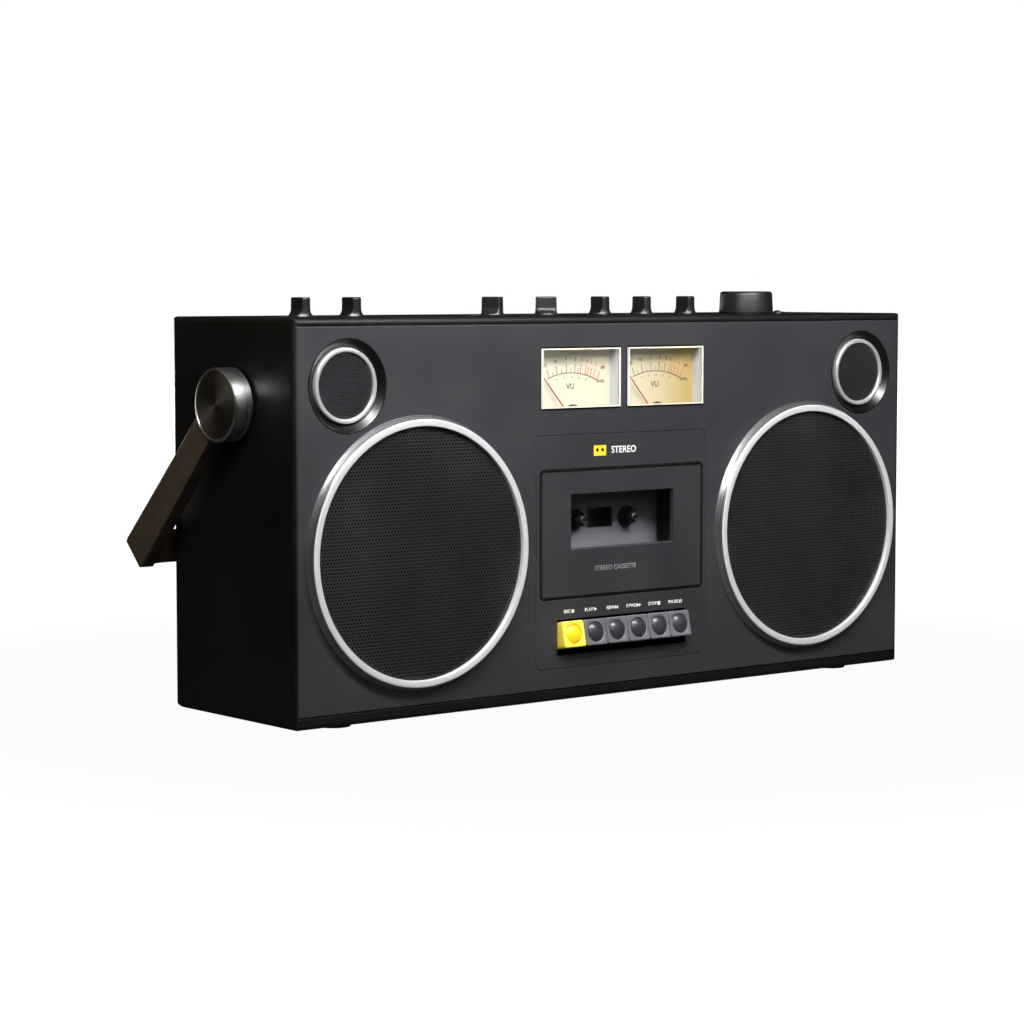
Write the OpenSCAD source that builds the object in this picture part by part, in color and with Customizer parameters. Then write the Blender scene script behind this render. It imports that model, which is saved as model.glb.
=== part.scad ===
// Portable stereo cassette player with two woofers, two tweeters, level meters and a swinging handle.
// Row frame: +X to the right of the front, +Y from the front to the back, +Z up, with the origin under
// the middle of the whole box, on the surface that the feet stand on. Every piece is drawn in the
// cabinet's own frame, front plate at y = 0 and underside at z = 0, and placed() moves it to the row frame.

/* [Cabinet] */
// Width of the cabinet without the handle's discs
cabinet_w = 494; // [492:1:510]
// Height of the cabinet without feet and knobs
cabinet_h = 235; // [235:1:245]
// Depth from the front plate to the rear cover
cabinet_d = 127; // [127:1:140]
// Thickness of the moulded walls
wall = 3; // [2.5:0.5:3.5]
// Height of the rubber feet
foot_h = 3; // [2:0.5:6]

/* [Speakers] */
// Distance of each woofer's centre from the middle
woofer_x = 158.5; // [158:0.5:159]
// Height of the woofers' centres
woofer_z = 97; // [96:0.5:98]
// Outer radius of the bright woofer ring where it meets the front plate
trim_r = 81; // [80:0.5:82]
// Height of the woofer ring above the front plate
trim_h = 5.3; // [4:0.1:6]
// Distance of each tweeter's centre from the middle
tweeter_x = 209.5; // [209:0.5:210]
// Height of the tweeters' centres
tweeter_z = 196; // [195:0.5:197]

/* [Deck] */
// Height of the two reel spindles
hub_z = 108.7; // [108:0.1:109]
// Distance between the reel spindles
hub_spacing = 42.5; // [42.5]
// Distance from one key to the next
key_pitch = 17.5; // [17.5:0.1:17.6]
// Lean of the keys' faces from upright
key_lean = 12.4; // [12:0.1:13]

/* [Controls] */
// Distance of the knob row behind the front plate
knob_y = 44; // [43:0.5:46]
// Height of the small knobs
knob_h = 11.5; // [10:0.5:13]
// Height of the volume knob
volume_h = 14.5; // [12:0.5:16]

/* [Handle] */
// Distance of the handle's pivot behind the front plate
pivot_y = 60; // [58:1:62]
// Height of the handle's pivot
pivot_z = 184.5; // [182:0.5:186]
// Radius of the bright pivot discs
disc_r = 21.6; // [20:0.1:23]
// Distance from the pivot to the arm's square end
arm_len = 132.5; // [130:0.5:134]
// Width of an arm at the pivot
arm_w = 18; // [17:0.1:19]
// Width of an arm at its square end
arm_end_w = 23.1; // [22:0.1:24]
// Angle of the folded handle below the horizontal
arm_drop = 45.1; // [44:0.1:46]

/* [Hidden] */

$fn = 96;
hull_fn = 32;

// Cabinet
half_w = cabinet_w / 2;
edge_r = 3;
bottom_back_r = 8;
rear_split = cabinet_d - 9;
plate_t = 3;
plate_x = 245;
plate_z0 = 6.9;
plate_z1 = cabinet_h - 4.5;
plate_bevel = 0.8;
plate_gap = 0.2;
ledge_t = 3;
ledge_w = 6.5;
post_r = 4.5;
post_y = 70;
post_inset = 7;
top_post_x = 75;
cover_screw_r = 1.55;
foot_r = 11;
foot_x = 205;
foot_ys = [22, 104];

// Battery bay in the lower rear, for two rows of four large round cells
bay_x = 125;
bay_z0 = 11;
bay_z1 = 77;
bay_depth = 34;
tray_t = 1.8;
tray_y1 = cabinet_d - wall - 0.2;
tray_y0 = tray_y1 - bay_depth - tray_t - 4;
lid_pin_z = 13.9;
lid_top = 75.6;
lid_x = 124.6;
edge_round = 1.5;
lid_gap = 0.4;
pin_r = 0.9;
pin_gap = 0.05;

// Socket panel in the rear cover
socket_x0 = 158;
socket_x1 = 234;
socket_z0 = 22;
socket_z1 = 68;
inlet_x = 176;
jack_xs = [199, 211, 223];
jack_z = 45;
jack_r = 1.8;
socket_gap = 0.3;

// Speakers
grille_r = 74.4;
basket_r = 79;
cone_r = 66;
coil_r = 13.4;
bezel_r = 27.5;
ring_r = 22;
ring_in_r = 19.2;

// Level meters
meter_x = 34.65;
meter_w = 62.7;
meter_z0 = 179;
meter_z1 = 215.3;
meter_base_z = 165;
meter_dial_y = 8;
needle_pivot_z = 169.5;
needle_len = 37;
needle_lean = 41.3;

// Deck
fascia_x = 69.8;
fascia_z0 = 20;
fascia_z1 = 162.5;
fascia_r = 5;
door_x = 64.4;
door_z1 = 141.7;
door_pin_z = 63.8;
window_x = 42.15;
window_z0 = 92.9;
window_z1 = 126.2;
deck_y = 22;
deck_t = 1.5;
deck_rear_y = 43.5;
spindle_tip_y = 13;
spindle_r = 3;
capstan_x = 22.5;
capstan_z = 76.3;
capstan_r = 1;
flywheel_r = 25;
motor_x = -42;
pulley_r = 5;
belt_t = 1;
belt_gap = 0.35;
bearing_gap = 0.05;
roller_z = 64;
roller_r = 6;

// Keys
shaft_y = 30;
shaft_z = 40;
shaft_r = 1.5;
hub_r = 3.5;
key_w = key_pitch - 0.4;
key_face_y = -3.5;
key_face_z = 49;
key_face_h = 16.2;
key_depth = 8;
dome_r = 6.25;
dome_h = 1.3;
slot_x = 53.2;
slot_z0 = 27.5;
slot_z1 = 49.8;

// Knobs, left to right: distance from the middle
knob_xs = [-211.4, -174.9, -68.5, -25.7, 18.7, 53.9, 91.7];
volume_x = 146.3;
bass_turn = 27;
treble_turn = 51;
knob_gap = 0.4;
spindle_knob_r = 3;
board_z = cabinet_h - 17.6;
board_t = 1.6;
pot_r = 8;
pot_top = cabinet_h - 8;
bush_top = cabinet_h - wall - 1;
lamp_x = 175;

// Handle
disc_x0 = half_w + 1.5;
disc_x1 = half_w + 14;
arm_x0 = half_w + 3.8;
arm_x1 = half_w + 13.1;
stud_r = 6;
stud_tip = disc_x1 - 3;
grip_reach = 121;
grip_drop = 3.9;
grip_r = 10;
grip_x = 238;
grip_y = pivot_y + grip_reach * cos(arm_drop) - grip_drop * sin(arm_drop);
grip_z = pivot_z - grip_reach * sin(arm_drop) - grip_drop * cos(arm_drop);

// Row frame: the keys' lower front edge and the arms' rear corner are the ends of the box along Y
front_most = key_face_y - key_face_h * sin(key_lean);
rear_most = pivot_y + arm_len * cos(arm_drop) + arm_end_w / 2 * sin(arm_drop);
shift_y = -(front_most + rear_most) / 2;

// ---- Shared shapes ----

module placed() {
    translate([0, shift_y, foot_h]) children();
}

// Both children, one on each side of the middle
module both_sides() {
    children();
    mirror([1, 0, 0]) children();
}

module block(x0, x1, y0, y1, z0, z1) {
    translate([x0, y0, z0]) cube([x1 - x0, y1 - y0, z1 - z0]);
}

// Cylinder whose axis runs front to back
module rod_y(x, z, y0, y1, r) {
    translate([x, y0, z]) rotate([-90, 0, 0]) cylinder(r = r, h = y1 - y0);
}

// Cylinder whose axis runs left to right
module rod_x(y, z, x0, x1, r) {
    translate([x0, y, z]) rotate([0, 90, 0]) cylinder(r = r, h = x1 - x0);
}

// Turned piece: each profile point is [radius, y]
module turned_y(x, z) {
    translate([x, 0, z]) rotate([-90, 0, 0]) rotate_extrude() children();
}

// Outline in x and z pushed from y0 to y1
module plate_y(y0, y1) {
    translate([0, y1, 0]) rotate([90, 0, 0]) linear_extrude(y1 - y0) children();
}

// Outline in y and z pushed from x0 to x1
module plate_x(x0, x1) {
    translate([x0, 0, 0]) rotate([90, 0, 90]) linear_extrude(x1 - x0) children();
}

// Rectangle with its own radius at each corner: [lower left, lower right, upper right, upper left]
module rounded(x0, x1, z0, z1, r) {
    polygon([[x0 + r[0], z0], [x1 - r[1], z0], [x1, z0 + r[1]], [x1, z1 - r[2]],
        [x1 - r[2], z1], [x0 + r[3], z1], [x0, z1 - r[3]], [x0, z0 + r[0]]]);
    translate([x0 + r[0], z0 + r[0]]) circle(r[0]);
    translate([x1 - r[1], z0 + r[1]]) circle(r[1]);
    translate([x1 - r[2], z1 - r[2]]) circle(r[2]);
    translate([x0 + r[3], z1 - r[3]]) circle(r[3]);
}

// ---- Cabinet ----

// Outside of the closed cabinet, rounded on every edge
module cabinet_form() {
    intersection() {
        plate_y(0, cabinet_d)
            rounded(-half_w, half_w, 0, cabinet_h, [edge_r, edge_r, edge_r, edge_r]);
        plate_x(-half_w, half_w)
            rounded(0, cabinet_d, 0, cabinet_h, [edge_r, bottom_back_r, edge_r, edge_r]);
        linear_extrude(cabinet_h)
            rounded(-half_w, half_w, 0, cabinet_d, [edge_r, edge_r, edge_r, edge_r]);
    }
}

module screw_posts(r, y0, y1) {
    both_sides() {
        for (z = [post_inset, cabinet_h - post_inset]) rod_y(half_w - post_inset, z, y0, y1, r);
        rod_y(top_post_x, cabinet_h - post_inset, y0, y1, r);
    }
}

module cabinet_shell() color("#131314") placed() {
    difference() {
        union() {
            difference() {
                cabinet_form();
                block(-half_w, half_w, rear_split, cabinet_d + 1, -1, cabinet_h + 1);
                block(-plate_x - plate_gap, plate_x + plate_gap, -1, plate_t,
                    plate_z0 - plate_gap, plate_z1 + plate_gap);
                block(-plate_x + ledge_w, plate_x - ledge_w, 0, plate_t + ledge_t + 1,
                    plate_z0 + ledge_w, plate_z1 - ledge_w);
                block(-half_w + wall, half_w - wall, plate_t + ledge_t, cabinet_d, wall, cabinet_h - wall);
            }
            screw_posts(post_r, post_y, cabinet_d - wall);
        }
        screw_posts(cover_screw_r + pin_gap, post_y + 20, cabinet_d);
        for (x = concat(knob_xs, [volume_x]))
            translate([x, knob_y, cabinet_h - wall - 1]) cylinder(r = spindle_knob_r + 1, h = wall + 2);
        translate([lamp_x, knob_y, cabinet_h - wall - 1]) cylinder(r = 2.1, h = wall + 2);
        both_sides() rod_x(pivot_y, pivot_z, half_w - wall - 1, half_w + 1, stud_r + pin_gap);
    }
}

module meter_outline(grow) {
    both_sides() translate([meter_x - meter_w / 2 - grow, meter_z0 - grow])
        square([meter_w + 2 * grow, meter_z1 - meter_z0 + 2 * grow]);
}

module front_panel() color("#39393d") placed() {
    difference() {
        intersection() {
            plate_x(-plate_x, plate_x)
                polygon([[0, plate_z0 + plate_bevel], [plate_bevel, plate_z0], [plate_t, plate_z0],
                    [plate_t, plate_z1], [plate_bevel, plate_z1], [0, plate_z1 - plate_bevel]]);
            linear_extrude(cabinet_h)
                polygon([[-plate_x + plate_bevel, 0], [plate_x - plate_bevel, 0],
                    [plate_x, plate_bevel], [plate_x, plate_t],
                    [-plate_x, plate_t], [-plate_x, plate_bevel]]);
        }
        both_sides() {
            rod_y(woofer_x, woofer_z, -1, plate_t + 1, 76);
            rod_y(tweeter_x, tweeter_z, -1, plate_t + 1, bezel_r + 0.1);
            speaker_screw_places() rod_y(0, 0, 0.8, plate_t + 1, 1.5 + pin_gap);
        }
        plate_y(-1, plate_t + 1) meter_outline(0.3);
        plate_y(-1, plate_t + 1)
            rounded(-fascia_x - 0.3, fascia_x + 0.3, fascia_z0 - 0.3, fascia_z1 + 0.3,
                [fascia_r, fascia_r, fascia_r, fascia_r]);
    }
}

module rear_cover() color("#161617") placed() {
    difference() {
        cabinet_form();
        block(-half_w, half_w, -1, rear_split + 0.2, -1, cabinet_h + 1);
        block(-half_w + wall, half_w - wall, 0, cabinet_d - wall, wall, cabinet_h - wall);
        screw_posts(post_r + 0.1, rear_split, cabinet_d - wall + pin_gap);
        screw_posts(cover_screw_r + 0.3, rear_split, cabinet_d + 1);
        screw_posts(3.8, cabinet_d - 1.8, cabinet_d + 1);
        block(-bay_x, bay_x, rear_split, cabinet_d + 1, lid_pin_z - edge_round - lid_gap, lid_top + lid_gap);
        both_sides() rod_x(cabinet_d - edge_round, lid_pin_z, bay_x - 1, bay_x + 2.5, pin_r + pin_gap);
        block(socket_x0, socket_x1, rear_split, cabinet_d + 1, socket_z0, socket_z1);
    }
}

module rear_cover_screws() color("#3a3a3c") placed() {
    difference() {
        union() {
            screw_posts(cover_screw_r, cabinet_d - 22, cabinet_d - 1.8);
            screw_posts(3.5, cabinet_d - 1.8, cabinet_d - 0.3);
        }
        both_sides() {
            for (z = [post_inset, cabinet_h - post_inset]) screw_slot(half_w - post_inset, z);
            screw_slot(top_post_x, cabinet_h - post_inset);
        }
    }
}

module screw_slot(x, z) {
    block(x - 2.1, x + 2.1, cabinet_d - 1.2, cabinet_d, z - 0.4, z + 0.4);
    block(x - 0.4, x + 0.4, cabinet_d - 1.2, cabinet_d, z - 2.1, z + 2.1);
}

module feet() color("#1b1b1b") placed() {
    both_sides() for (y = foot_ys)
        translate([foot_x, y, -foot_h]) cylinder(r1 = foot_r - 1, r2 = foot_r, h = foot_h);
}

// ---- Battery bay and sockets ----

module battery_tray() color("#1d1d1f") placed() {
    difference() {
        block(-bay_x - tray_t, bay_x + tray_t, tray_y0, tray_y1, bay_z0 - tray_t, bay_z1 + tray_t);
        block(-bay_x, bay_x, tray_y0 + tray_t, tray_y1 + 1, bay_z0, bay_z1);
    }
}

// A flat contact at one end of each row and a coil of wire at the other
module battery_contacts() color("#b9bbbd") placed() {
    for (row = [0, 1], side = [-1, 1]) {
        z = bay_z0 + 16.5 + 33 * row;
        x = side * (bay_x - 0.4);
        translate([x, (tray_y0 + tray_y1) / 2, z]) rotate([0, -90 * side, 0]) {
            cylinder(r = 9, h = 0.8, center = true);
            translate([0, 0, 0.4]) cylinder(r1 = 7, r2 = 3, h = 4);
        }
    }
}

module battery_cover() color("#18181a") placed() {
    difference() {
        union() {
            block(-lid_x, lid_x, cabinet_d - wall, cabinet_d, lid_pin_z, lid_top);
            rod_x(cabinet_d - edge_round, lid_pin_z, -lid_x, lid_x, edge_round);
            rod_x(cabinet_d - edge_round, lid_pin_z, -lid_x - 2, lid_x + 2, pin_r);
        }
        for (x = [-70, 70]) block(x - 11, x + 11, cabinet_d - 1.2, cabinet_d + 1, lid_top - 12, lid_top - 4);
    }
}

module socket_panel() color("#141416") placed() {
    difference() {
        union() {
            block(socket_x0 + socket_gap, socket_x1 - socket_gap, cabinet_d - wall, cabinet_d - 0.6,
                socket_z0 + socket_gap, socket_z1 - socket_gap);
            block(socket_x0 - 4, socket_x1 + 4, cabinet_d - wall - 1.6, cabinet_d - wall,
                socket_z0 - 4, socket_z1 + 4);
            block(inlet_x - 11, inlet_x + 11, cabinet_d - 23, cabinet_d - wall, jack_z - 8, jack_z + 8);
            for (x = jack_xs) rod_y(x, jack_z, cabinet_d - 19, cabinet_d - wall, 4.6);
        }
        for (x = [inlet_x - 4, inlet_x + 4]) rod_y(x, jack_z, cabinet_d - 20, cabinet_d, 4.2);
        block(inlet_x - 4, inlet_x + 4, cabinet_d - 20, cabinet_d, jack_z - 4.2, jack_z + 4.2);
        for (x = jack_xs) rod_y(x, jack_z, cabinet_d - 16.6, cabinet_d, jack_r);
    }
    for (x = [inlet_x - 4, inlet_x + 4]) rod_y(x, jack_z, cabinet_d - 20, cabinet_d - 8, 1.2);
}

// ---- Speakers ----

module speaker_screw_places() {
    for (a = [45:90:315]) translate([woofer_x + 82 * cos(a), 0, woofer_z + 82 * sin(a)]) children();
}

module woofer_trims() color("#c9cacc") placed() {
    both_sides() turned_y(woofer_x, woofer_z)
        polygon([[trim_r, 0], [trim_r, -0.6], [trim_r - 2, -trim_h + 0.6], [trim_r - 2.6, -trim_h],
            [grille_r + 0.6, -trim_h], [grille_r + 0.2, -trim_h + 0.5], [grille_r + 0.2, plate_t],
            [75.8, plate_t], [75.8, 0]]);
}

module woofer_grilles() color("#1a1a1b") placed() {
    both_sides() rod_y(woofer_x, woofer_z, -3, -2.2, grille_r);
}

module woofer_baskets() color("#2a2a2c") placed() {
    both_sides() difference() {
        union() {
            turned_y(woofer_x, woofer_z)
                polygon([[72.5, 5], [basket_r, 5], [basket_r, 7], [74.5, 7], [40, 46],
                    [14.6, 46], [14.6, 44], [38.6, 44], [72.5, 7.5]]);
            speaker_screw_places() rod_y(0, 0, 5, 7, 6);
        }
        speaker_screw_places() rod_y(0, 0, 4, 8, 1.7);
    }
}

module woofer_magnets() color("#4a4b4e") placed() {
    both_sides() turned_y(woofer_x, woofer_z) {
        translate([14.2, 46]) square([25.8, 4]);
        translate([20, 50]) square([22, 10]);
        translate([0, 60]) square([38, 4]);
        translate([0, 46]) square([11.6, 15]);
    }
}

// Rubber gasket with the half roll that the cone hangs from
module woofer_surrounds() color("#202022") placed() {
    both_sides() turned_y(woofer_x, woofer_z) {
        translate([72.4, 3]) square([basket_r - 72.4, 2]);
        difference() {
            translate([69.6, 4.2]) circle(3.2);
            translate([69.6, 4.2]) circle(2.4);
            translate([60, 4.2]) square([20, 5]);
        }
    }
}

module speaker_screws() color("#8a8b8e") placed() {
    both_sides() speaker_screw_places() {
        rod_y(0, 0, 0.9, 7, 1.5);
        rod_y(0, 0, 7, 9, 3);
    }
}

module woofer_cone(side) {
    turned_y(side * woofer_x, woofer_z) {
        polygon([[cone_r, 4.5], [cone_r, 5.6], [coil_r, 35.4], [coil_r - 1, 35.4], [coil_r - 1, 34]]);
        translate([coil_r - 1, 34]) square([1, 20]);
        intersection() {
            difference() {
                translate([0, 50]) circle(30);
                translate([0, 50]) circle(29.2);
            }
            square([22, 40]);
        }
    }
}

module woofer_cone_left() color("#2b2b2d") placed() woofer_cone(-1);

module woofer_cone_right() color("#2b2b2d") placed() woofer_cone(1);

// Dark funnel round each tweeter
module tweeter_bezels() color("#151516") placed() {
    both_sides() turned_y(tweeter_x, tweeter_z)
        polygon([[bezel_r, 0.4], [bezel_r, 6], [ring_r + 0.1, 6], [ring_r + 0.1, 3.6], [bezel_r - 0.6, -0.2],
            [bezel_r, -0.2]]);
}

module tweeter_rings() color("#b4b6b8") placed() {
    both_sides() turned_y(tweeter_x, tweeter_z)
        polygon([[ring_r, 1.6], [ring_r - 0.6, 1], [ring_in_r + 0.6, 1], [ring_in_r, 1.6], [ring_in_r, 6],
            [ring_r, 6]]);
}

module tweeter_grilles() color("#1c1c1d") placed() {
    both_sides() rod_y(tweeter_x, tweeter_z, 2.4, 3.1, ring_in_r - 0.1);
}

module tweeter_drivers() color("#343437") placed() {
    both_sides() turned_y(tweeter_x, tweeter_z)
        polygon([[0, 7], [11, 7], [13, 6.2], [26, 6.2], [26, 12], [20, 12], [20, 30], [0, 30]]);
}

// ---- Level meters ----

module meter_cases() color("#e9e2cf") placed() {
    both_sides() {
        block(meter_x - 30.6, meter_x + 30.6, meter_dial_y, meter_dial_y + 18, meter_base_z, meter_z1 - 0.6);
        rod_y(meter_x, needle_pivot_z, meter_dial_y - 4.5, meter_dial_y, 0.5);
    }
}

// Clear cover: its lower part lies behind the front plate, round the needle's pivot
module meter_covers() color("#dfe8ee", 0.35) placed() {
    both_sides() translate([meter_x - meter_w / 2, 0, 0]) difference() {
        union() {
            block(0, meter_w, -1.4, meter_dial_y, meter_z0, meter_z1);
            block(0, meter_w, plate_t + 0.1, meter_dial_y, meter_base_z, meter_z0 + 1);
        }
        block(1, meter_w - 1, -0.2, meter_dial_y + 1, meter_z0 + 1, meter_z1 - 1);
        block(1, meter_w - 1, plate_t + 0.9, meter_dial_y + 1, meter_base_z + 1, meter_z0 + 2);
    }
}

module meter_needle(side) {
    translate([side * meter_x, 0, needle_pivot_z]) rotate([0, -needle_lean, 0]) difference() {
        union() {
            rod_y(0, 0, 5.2, 6.4, 2);
            block(-0.3, 0.3, 5.6, 6, 0, needle_len);
        }
        rod_y(0, 0, 5, 7, 0.5 + bearing_gap);
    }
}

module meter_needle_left() color("#a33428") placed() meter_needle(-1);

module meter_needle_right() color("#a33428") placed() meter_needle(1);

// ---- Deck front ----

module deck_fascia() color("#343438") placed() {
    difference() {
        union() {
            plate_y(0, plate_t) rounded(-fascia_x, fascia_x, fascia_z0, fascia_z1,
                [fascia_r, fascia_r, fascia_r, fascia_r]);
            difference() {
                block(-74, 74, plate_t, plate_t + 1.6, 17.5, 164.6);
                block(-67.5, 67.5, plate_t - 1, plate_t + 2, 22, 147);
            }
        }
        block(-door_x - lid_gap, door_x + lid_gap, -1, plate_t + 2,
            door_pin_z - edge_round - lid_gap, door_z1 + lid_gap);
        block(-slot_x, slot_x, -1, plate_t + 2, slot_z0, slot_z1);
        both_sides() rod_x(edge_round, door_pin_z, door_x, door_x + 3.2, pin_r + pin_gap);
    }
}

module cassette_door() color("#333337") placed() {
    difference() {
        union() {
            plate_y(0, plate_t) intersection() {
                rounded(-door_x, door_x, door_pin_z - 10, door_z1, [2.5, 2.5, 2.5, 2.5]);
                translate([-door_x, door_pin_z]) square([2 * door_x, door_z1 - door_pin_z]);
            }
            rod_x(edge_round, door_pin_z, -door_x, door_x, edge_round);
            rod_x(edge_round, door_pin_z, -door_x - 2.8, door_x + 2.8, pin_r);
            block(-window_x - 5, window_x + 5, plate_t, plate_t + 1.5, window_z0 - 5, window_z1 + 5);
        }
        block(-window_x, window_x, -1, plate_t + 1, window_z0, window_z1);
        block(-window_x - 2.3, window_x + 2.3, plate_t, plate_t + 2, window_z0 - 2, window_z1 + 2);
        plate_x(-window_x, window_x)
            polygon([[-0.1, window_z0 - 1], [1, window_z0 + 0.1], [-0.1, window_z0 + 0.1]]);
    }
}

module door_window() color("#2c2c30", 0.5) placed() {
    block(-window_x - 2.2, window_x + 2.2, plate_t, plate_t + 1.5, window_z0 - 1.9, window_z1 + 1.9);
}

// Side channels behind the door that the cassette slides down into
module cassette_holder() color("#2a2a2c") placed() {
    both_sides() {
        block(51, 52.6, 5, 21.2, 70, 137);
        block(46, 51, 5, 6.2, 70, 137);
        block(47.5, 51, 20.2, 21.2, 70, 137);
        block(38, 51, 6.2, 20.2, 70, 71.8);
        block(51, 57, plate_t, 5, 75, 132);
    }
}

// ---- Deck mechanism ----

// Front plate, rear bracket, spacers, bearing bushes and the ears that hold the key shaft
module deck_chassis() color("#55575b") placed() {
    difference() {
        union() {
            block(-63, 63, deck_y, deck_y + deck_t, 52, 150);
            block(-60, 52, deck_rear_y, deck_rear_y + deck_t, 52, 120);
            for (p = [[-56, 57], [-56, 116], [48, 116]]) rod_y(p[0], p[1], deck_y + deck_t, deck_rear_y, 3);
            for (x = [-1, 1]) rod_y(x * hub_spacing / 2, hub_z, deck_y, 30.4, 5.5);
            rod_y(capstan_x, capstan_z, deck_y, 33, 3.5);
            both_sides() {
                block(57, 59, deck_y, 35, 34, 60);
                block(59, 63, deck_y, deck_y + deck_t, 40, 60);
            }
        }
        for (x = [-1, 1]) rod_y(x * hub_spacing / 2, hub_z, deck_y - 1, 31, spindle_r + bearing_gap);
        rod_y(capstan_x, capstan_z, deck_y - 1, deck_rear_y + 3, capstan_r + bearing_gap);
        rod_y(motor_x, capstan_z, deck_rear_y - 1, deck_rear_y + 3, 6);
        block(-10.35, 10.35, deck_y - 1, deck_y + 3, hub_z - 6.25, hub_z + 6.25);
        both_sides() rod_x(shaft_y, shaft_z, 56, 60, shaft_r);
    }
}

// Reel spindle: base disc, six splines and a pointed tip in front, shaft and gear behind
module spindle(side) {
    x = side * hub_spacing / 2;
    turned_y(x, hub_z)
        polygon([[0, spindle_tip_y], [1.2, spindle_tip_y], [3.2, 15.4], [3.2, 19.6], [6, 19.6], [6.4, 20],
            [6.4, 21.4], [spindle_r, 21.4], [spindle_r, 31], [9.5, 31], [9.5, 33.6], [0, 33.6]]);
    for (a = [0:60:300]) translate([x, 0, hub_z]) rotate([0, a, 0]) block(2.5, 4.6, 15, 20, -0.6, 0.6);
    for (a = [0:15:345]) translate([x, 0, hub_z]) rotate([0, a, 0]) block(9, 10.6, 31, 33.6, -0.6, 0.6);
}

module supply_spindle() color("#1a1a1b") placed() spindle(-1);

module takeup_spindle() color("#1a1a1b") placed() spindle(1);

module capstan_flywheel() color("#a8a9ab") placed() {
    turned_y(capstan_x, capstan_z)
        polygon([[0, 13.5], [0.7, 13.5], [capstan_r, 13.8], [capstan_r, 34.4], [6, 34.4], [6, 36], [20, 36],
            [20, 34.4], [flywheel_r, 34.4], [flywheel_r, 40.6], [20, 40.6], [20, 38], [6, 38], [6, 40.6],
            [capstan_r, 40.6], [capstan_r, deck_rear_y + deck_t], [0, deck_rear_y + deck_t]]);
}

// Outline of a belt round two wheels: radius r0 at the origin and radius r1 at distance d along -X
module belt_outline(r0, r1, d) {
    lean = asin((r0 - r1) / d);
    step = 6;
    near = [for (a = [-90 - lean:step:90 + lean]) r0 * [cos(a), sin(a)]];
    far = [for (a = [90 + lean:step:270 - lean]) [-d + r1 * cos(a), r1 * sin(a)]];
    polygon(concat(near, [r0 * [cos(90 + lean), sin(90 + lean)]], far,
        [[-d + r1 * cos(270 - lean), r1 * sin(270 - lean)]]));
}

module drive_belt() color("#101010") placed() {
    reach = capstan_x - motor_x;
    translate([capstan_x, 0, capstan_z]) plate_y(35.9, 39.1) difference() {
        belt_outline(flywheel_r + belt_gap + belt_t, pulley_r + belt_gap + belt_t, reach);
        belt_outline(flywheel_r + belt_gap, pulley_r + belt_gap, reach);
    }
}

module deck_motor() color("#8f9194") placed() {
    difference() {
        turned_y(motor_x, capstan_z)
            polygon([[0, 45], [15, 45], [16, 46], [16, 67], [15, 68], [0, 68]]);
        rod_y(motor_x, capstan_z, 44, 52, 1.2 + bearing_gap);
    }
}

module motor_pulley() color("#c2a25a") placed() {
    turned_y(motor_x, capstan_z)
        polygon([[0, 34.4], [3.5, 34.4], [3.5, 35], [6, 35], [6, 35.5], [pulley_r, 35.5], [pulley_r, 39.5],
            [6, 39.5], [6, 40], [1.2, 40], [1.2, 51.5], [0, 51.5]]);
}

// Sliding plate with the shelf for the heads and the pinch roller's axle
module head_bridge() color("#9b9da0") placed() {
    block(-34, 34, 20, 21.4, 52.5, 66);
    block(-22, 12, 8, 20, 58, 59.5);
    rod_y(capstan_x, roller_z, 8, 20, 1);
    rod_y(capstan_x, roller_z, 7, 8, 2);
}

module tape_heads() color("#c6c7c9") placed() {
    difference() {
        block(-6, 6, 8.5, 19.5, 59.5, 70.5);
        block(-7, 7, 8, 9.6, 67, 71);
    }
    block(-20, -11, 9.5, 18.5, 59.5, 69.5);
}

module pinch_roller() color("#1c1c1c") placed() {
    difference() {
        rod_y(capstan_x, roller_z, 8.6, 19, roller_r);
        rod_y(capstan_x, roller_z, 8, 20, 1 + bearing_gap);
    }
}

// ---- Keys ----

module key_shaft() color("#b0b2b4") placed() rod_x(shaft_y, shaft_z, -60, 60, shaft_r);

// Side of a key: leaning face, parallel top and underside, arm to the hub on the shaft
module key_side() {
    down = [-sin(key_lean), -cos(key_lean)];
    back = [cos(key_lean), -sin(key_lean)];
    top = [key_face_y, key_face_z];
    foot = top + key_face_h * down;
    polygon([top, top + key_depth * back, [shaft_y, shaft_z + hub_r], [shaft_y, shaft_z - hub_r],
        foot + key_depth * back, foot]);
    translate([shaft_y, shaft_z]) circle(hub_r);
}

module deck_key(place) {
    x = (place - 2.5) * key_pitch;
    face = [key_face_y - key_face_h / 2 * sin(key_lean), key_face_z - key_face_h / 2 * cos(key_lean)];
    ball_r = (dome_r * dome_r + dome_h * dome_h) / (2 * dome_h);
    difference() {
        plate_x(x - key_w / 2, x + key_w / 2) key_side();
        translate([x, face[0], face[1]]) rotate([-90 - key_lean, 0, 0])
            translate([0, 0, -1]) cylinder(r = dome_r + 0.6, h = 1.5);
        rod_x(shaft_y, shaft_z, x - key_w, x + key_w, shaft_r + bearing_gap);
    }
    translate([x, face[0], face[1]]) rotate([-90 - key_lean, 0, 0]) intersection() {
        translate([0, 0, ball_r - dome_h]) sphere(ball_r);
        translate([0, 0, -3]) cylinder(r = dome_r, h = 4);
    }
}

module record_key() color("#f2c318") placed() deck_key(0);

module play_key() color("#3b3b3f") placed() deck_key(1);

module rewind_key() color("#3b3b3f") placed() deck_key(2);

module forward_key() color("#3b3b3f") placed() deck_key(3);

module stop_key() color("#3b3b3f") placed() deck_key(4);

module pause_key() color("#3b3b3f") placed() deck_key(5);

// ---- Knobs and boards ----

module knob_spindle() {
    translate([0, 0, board_z + board_t + 0.6 - cabinet_h])
        cylinder(r = spindle_knob_r, h = cabinet_h + knob_gap + 1 - board_z - board_t - 0.6);
}

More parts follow.
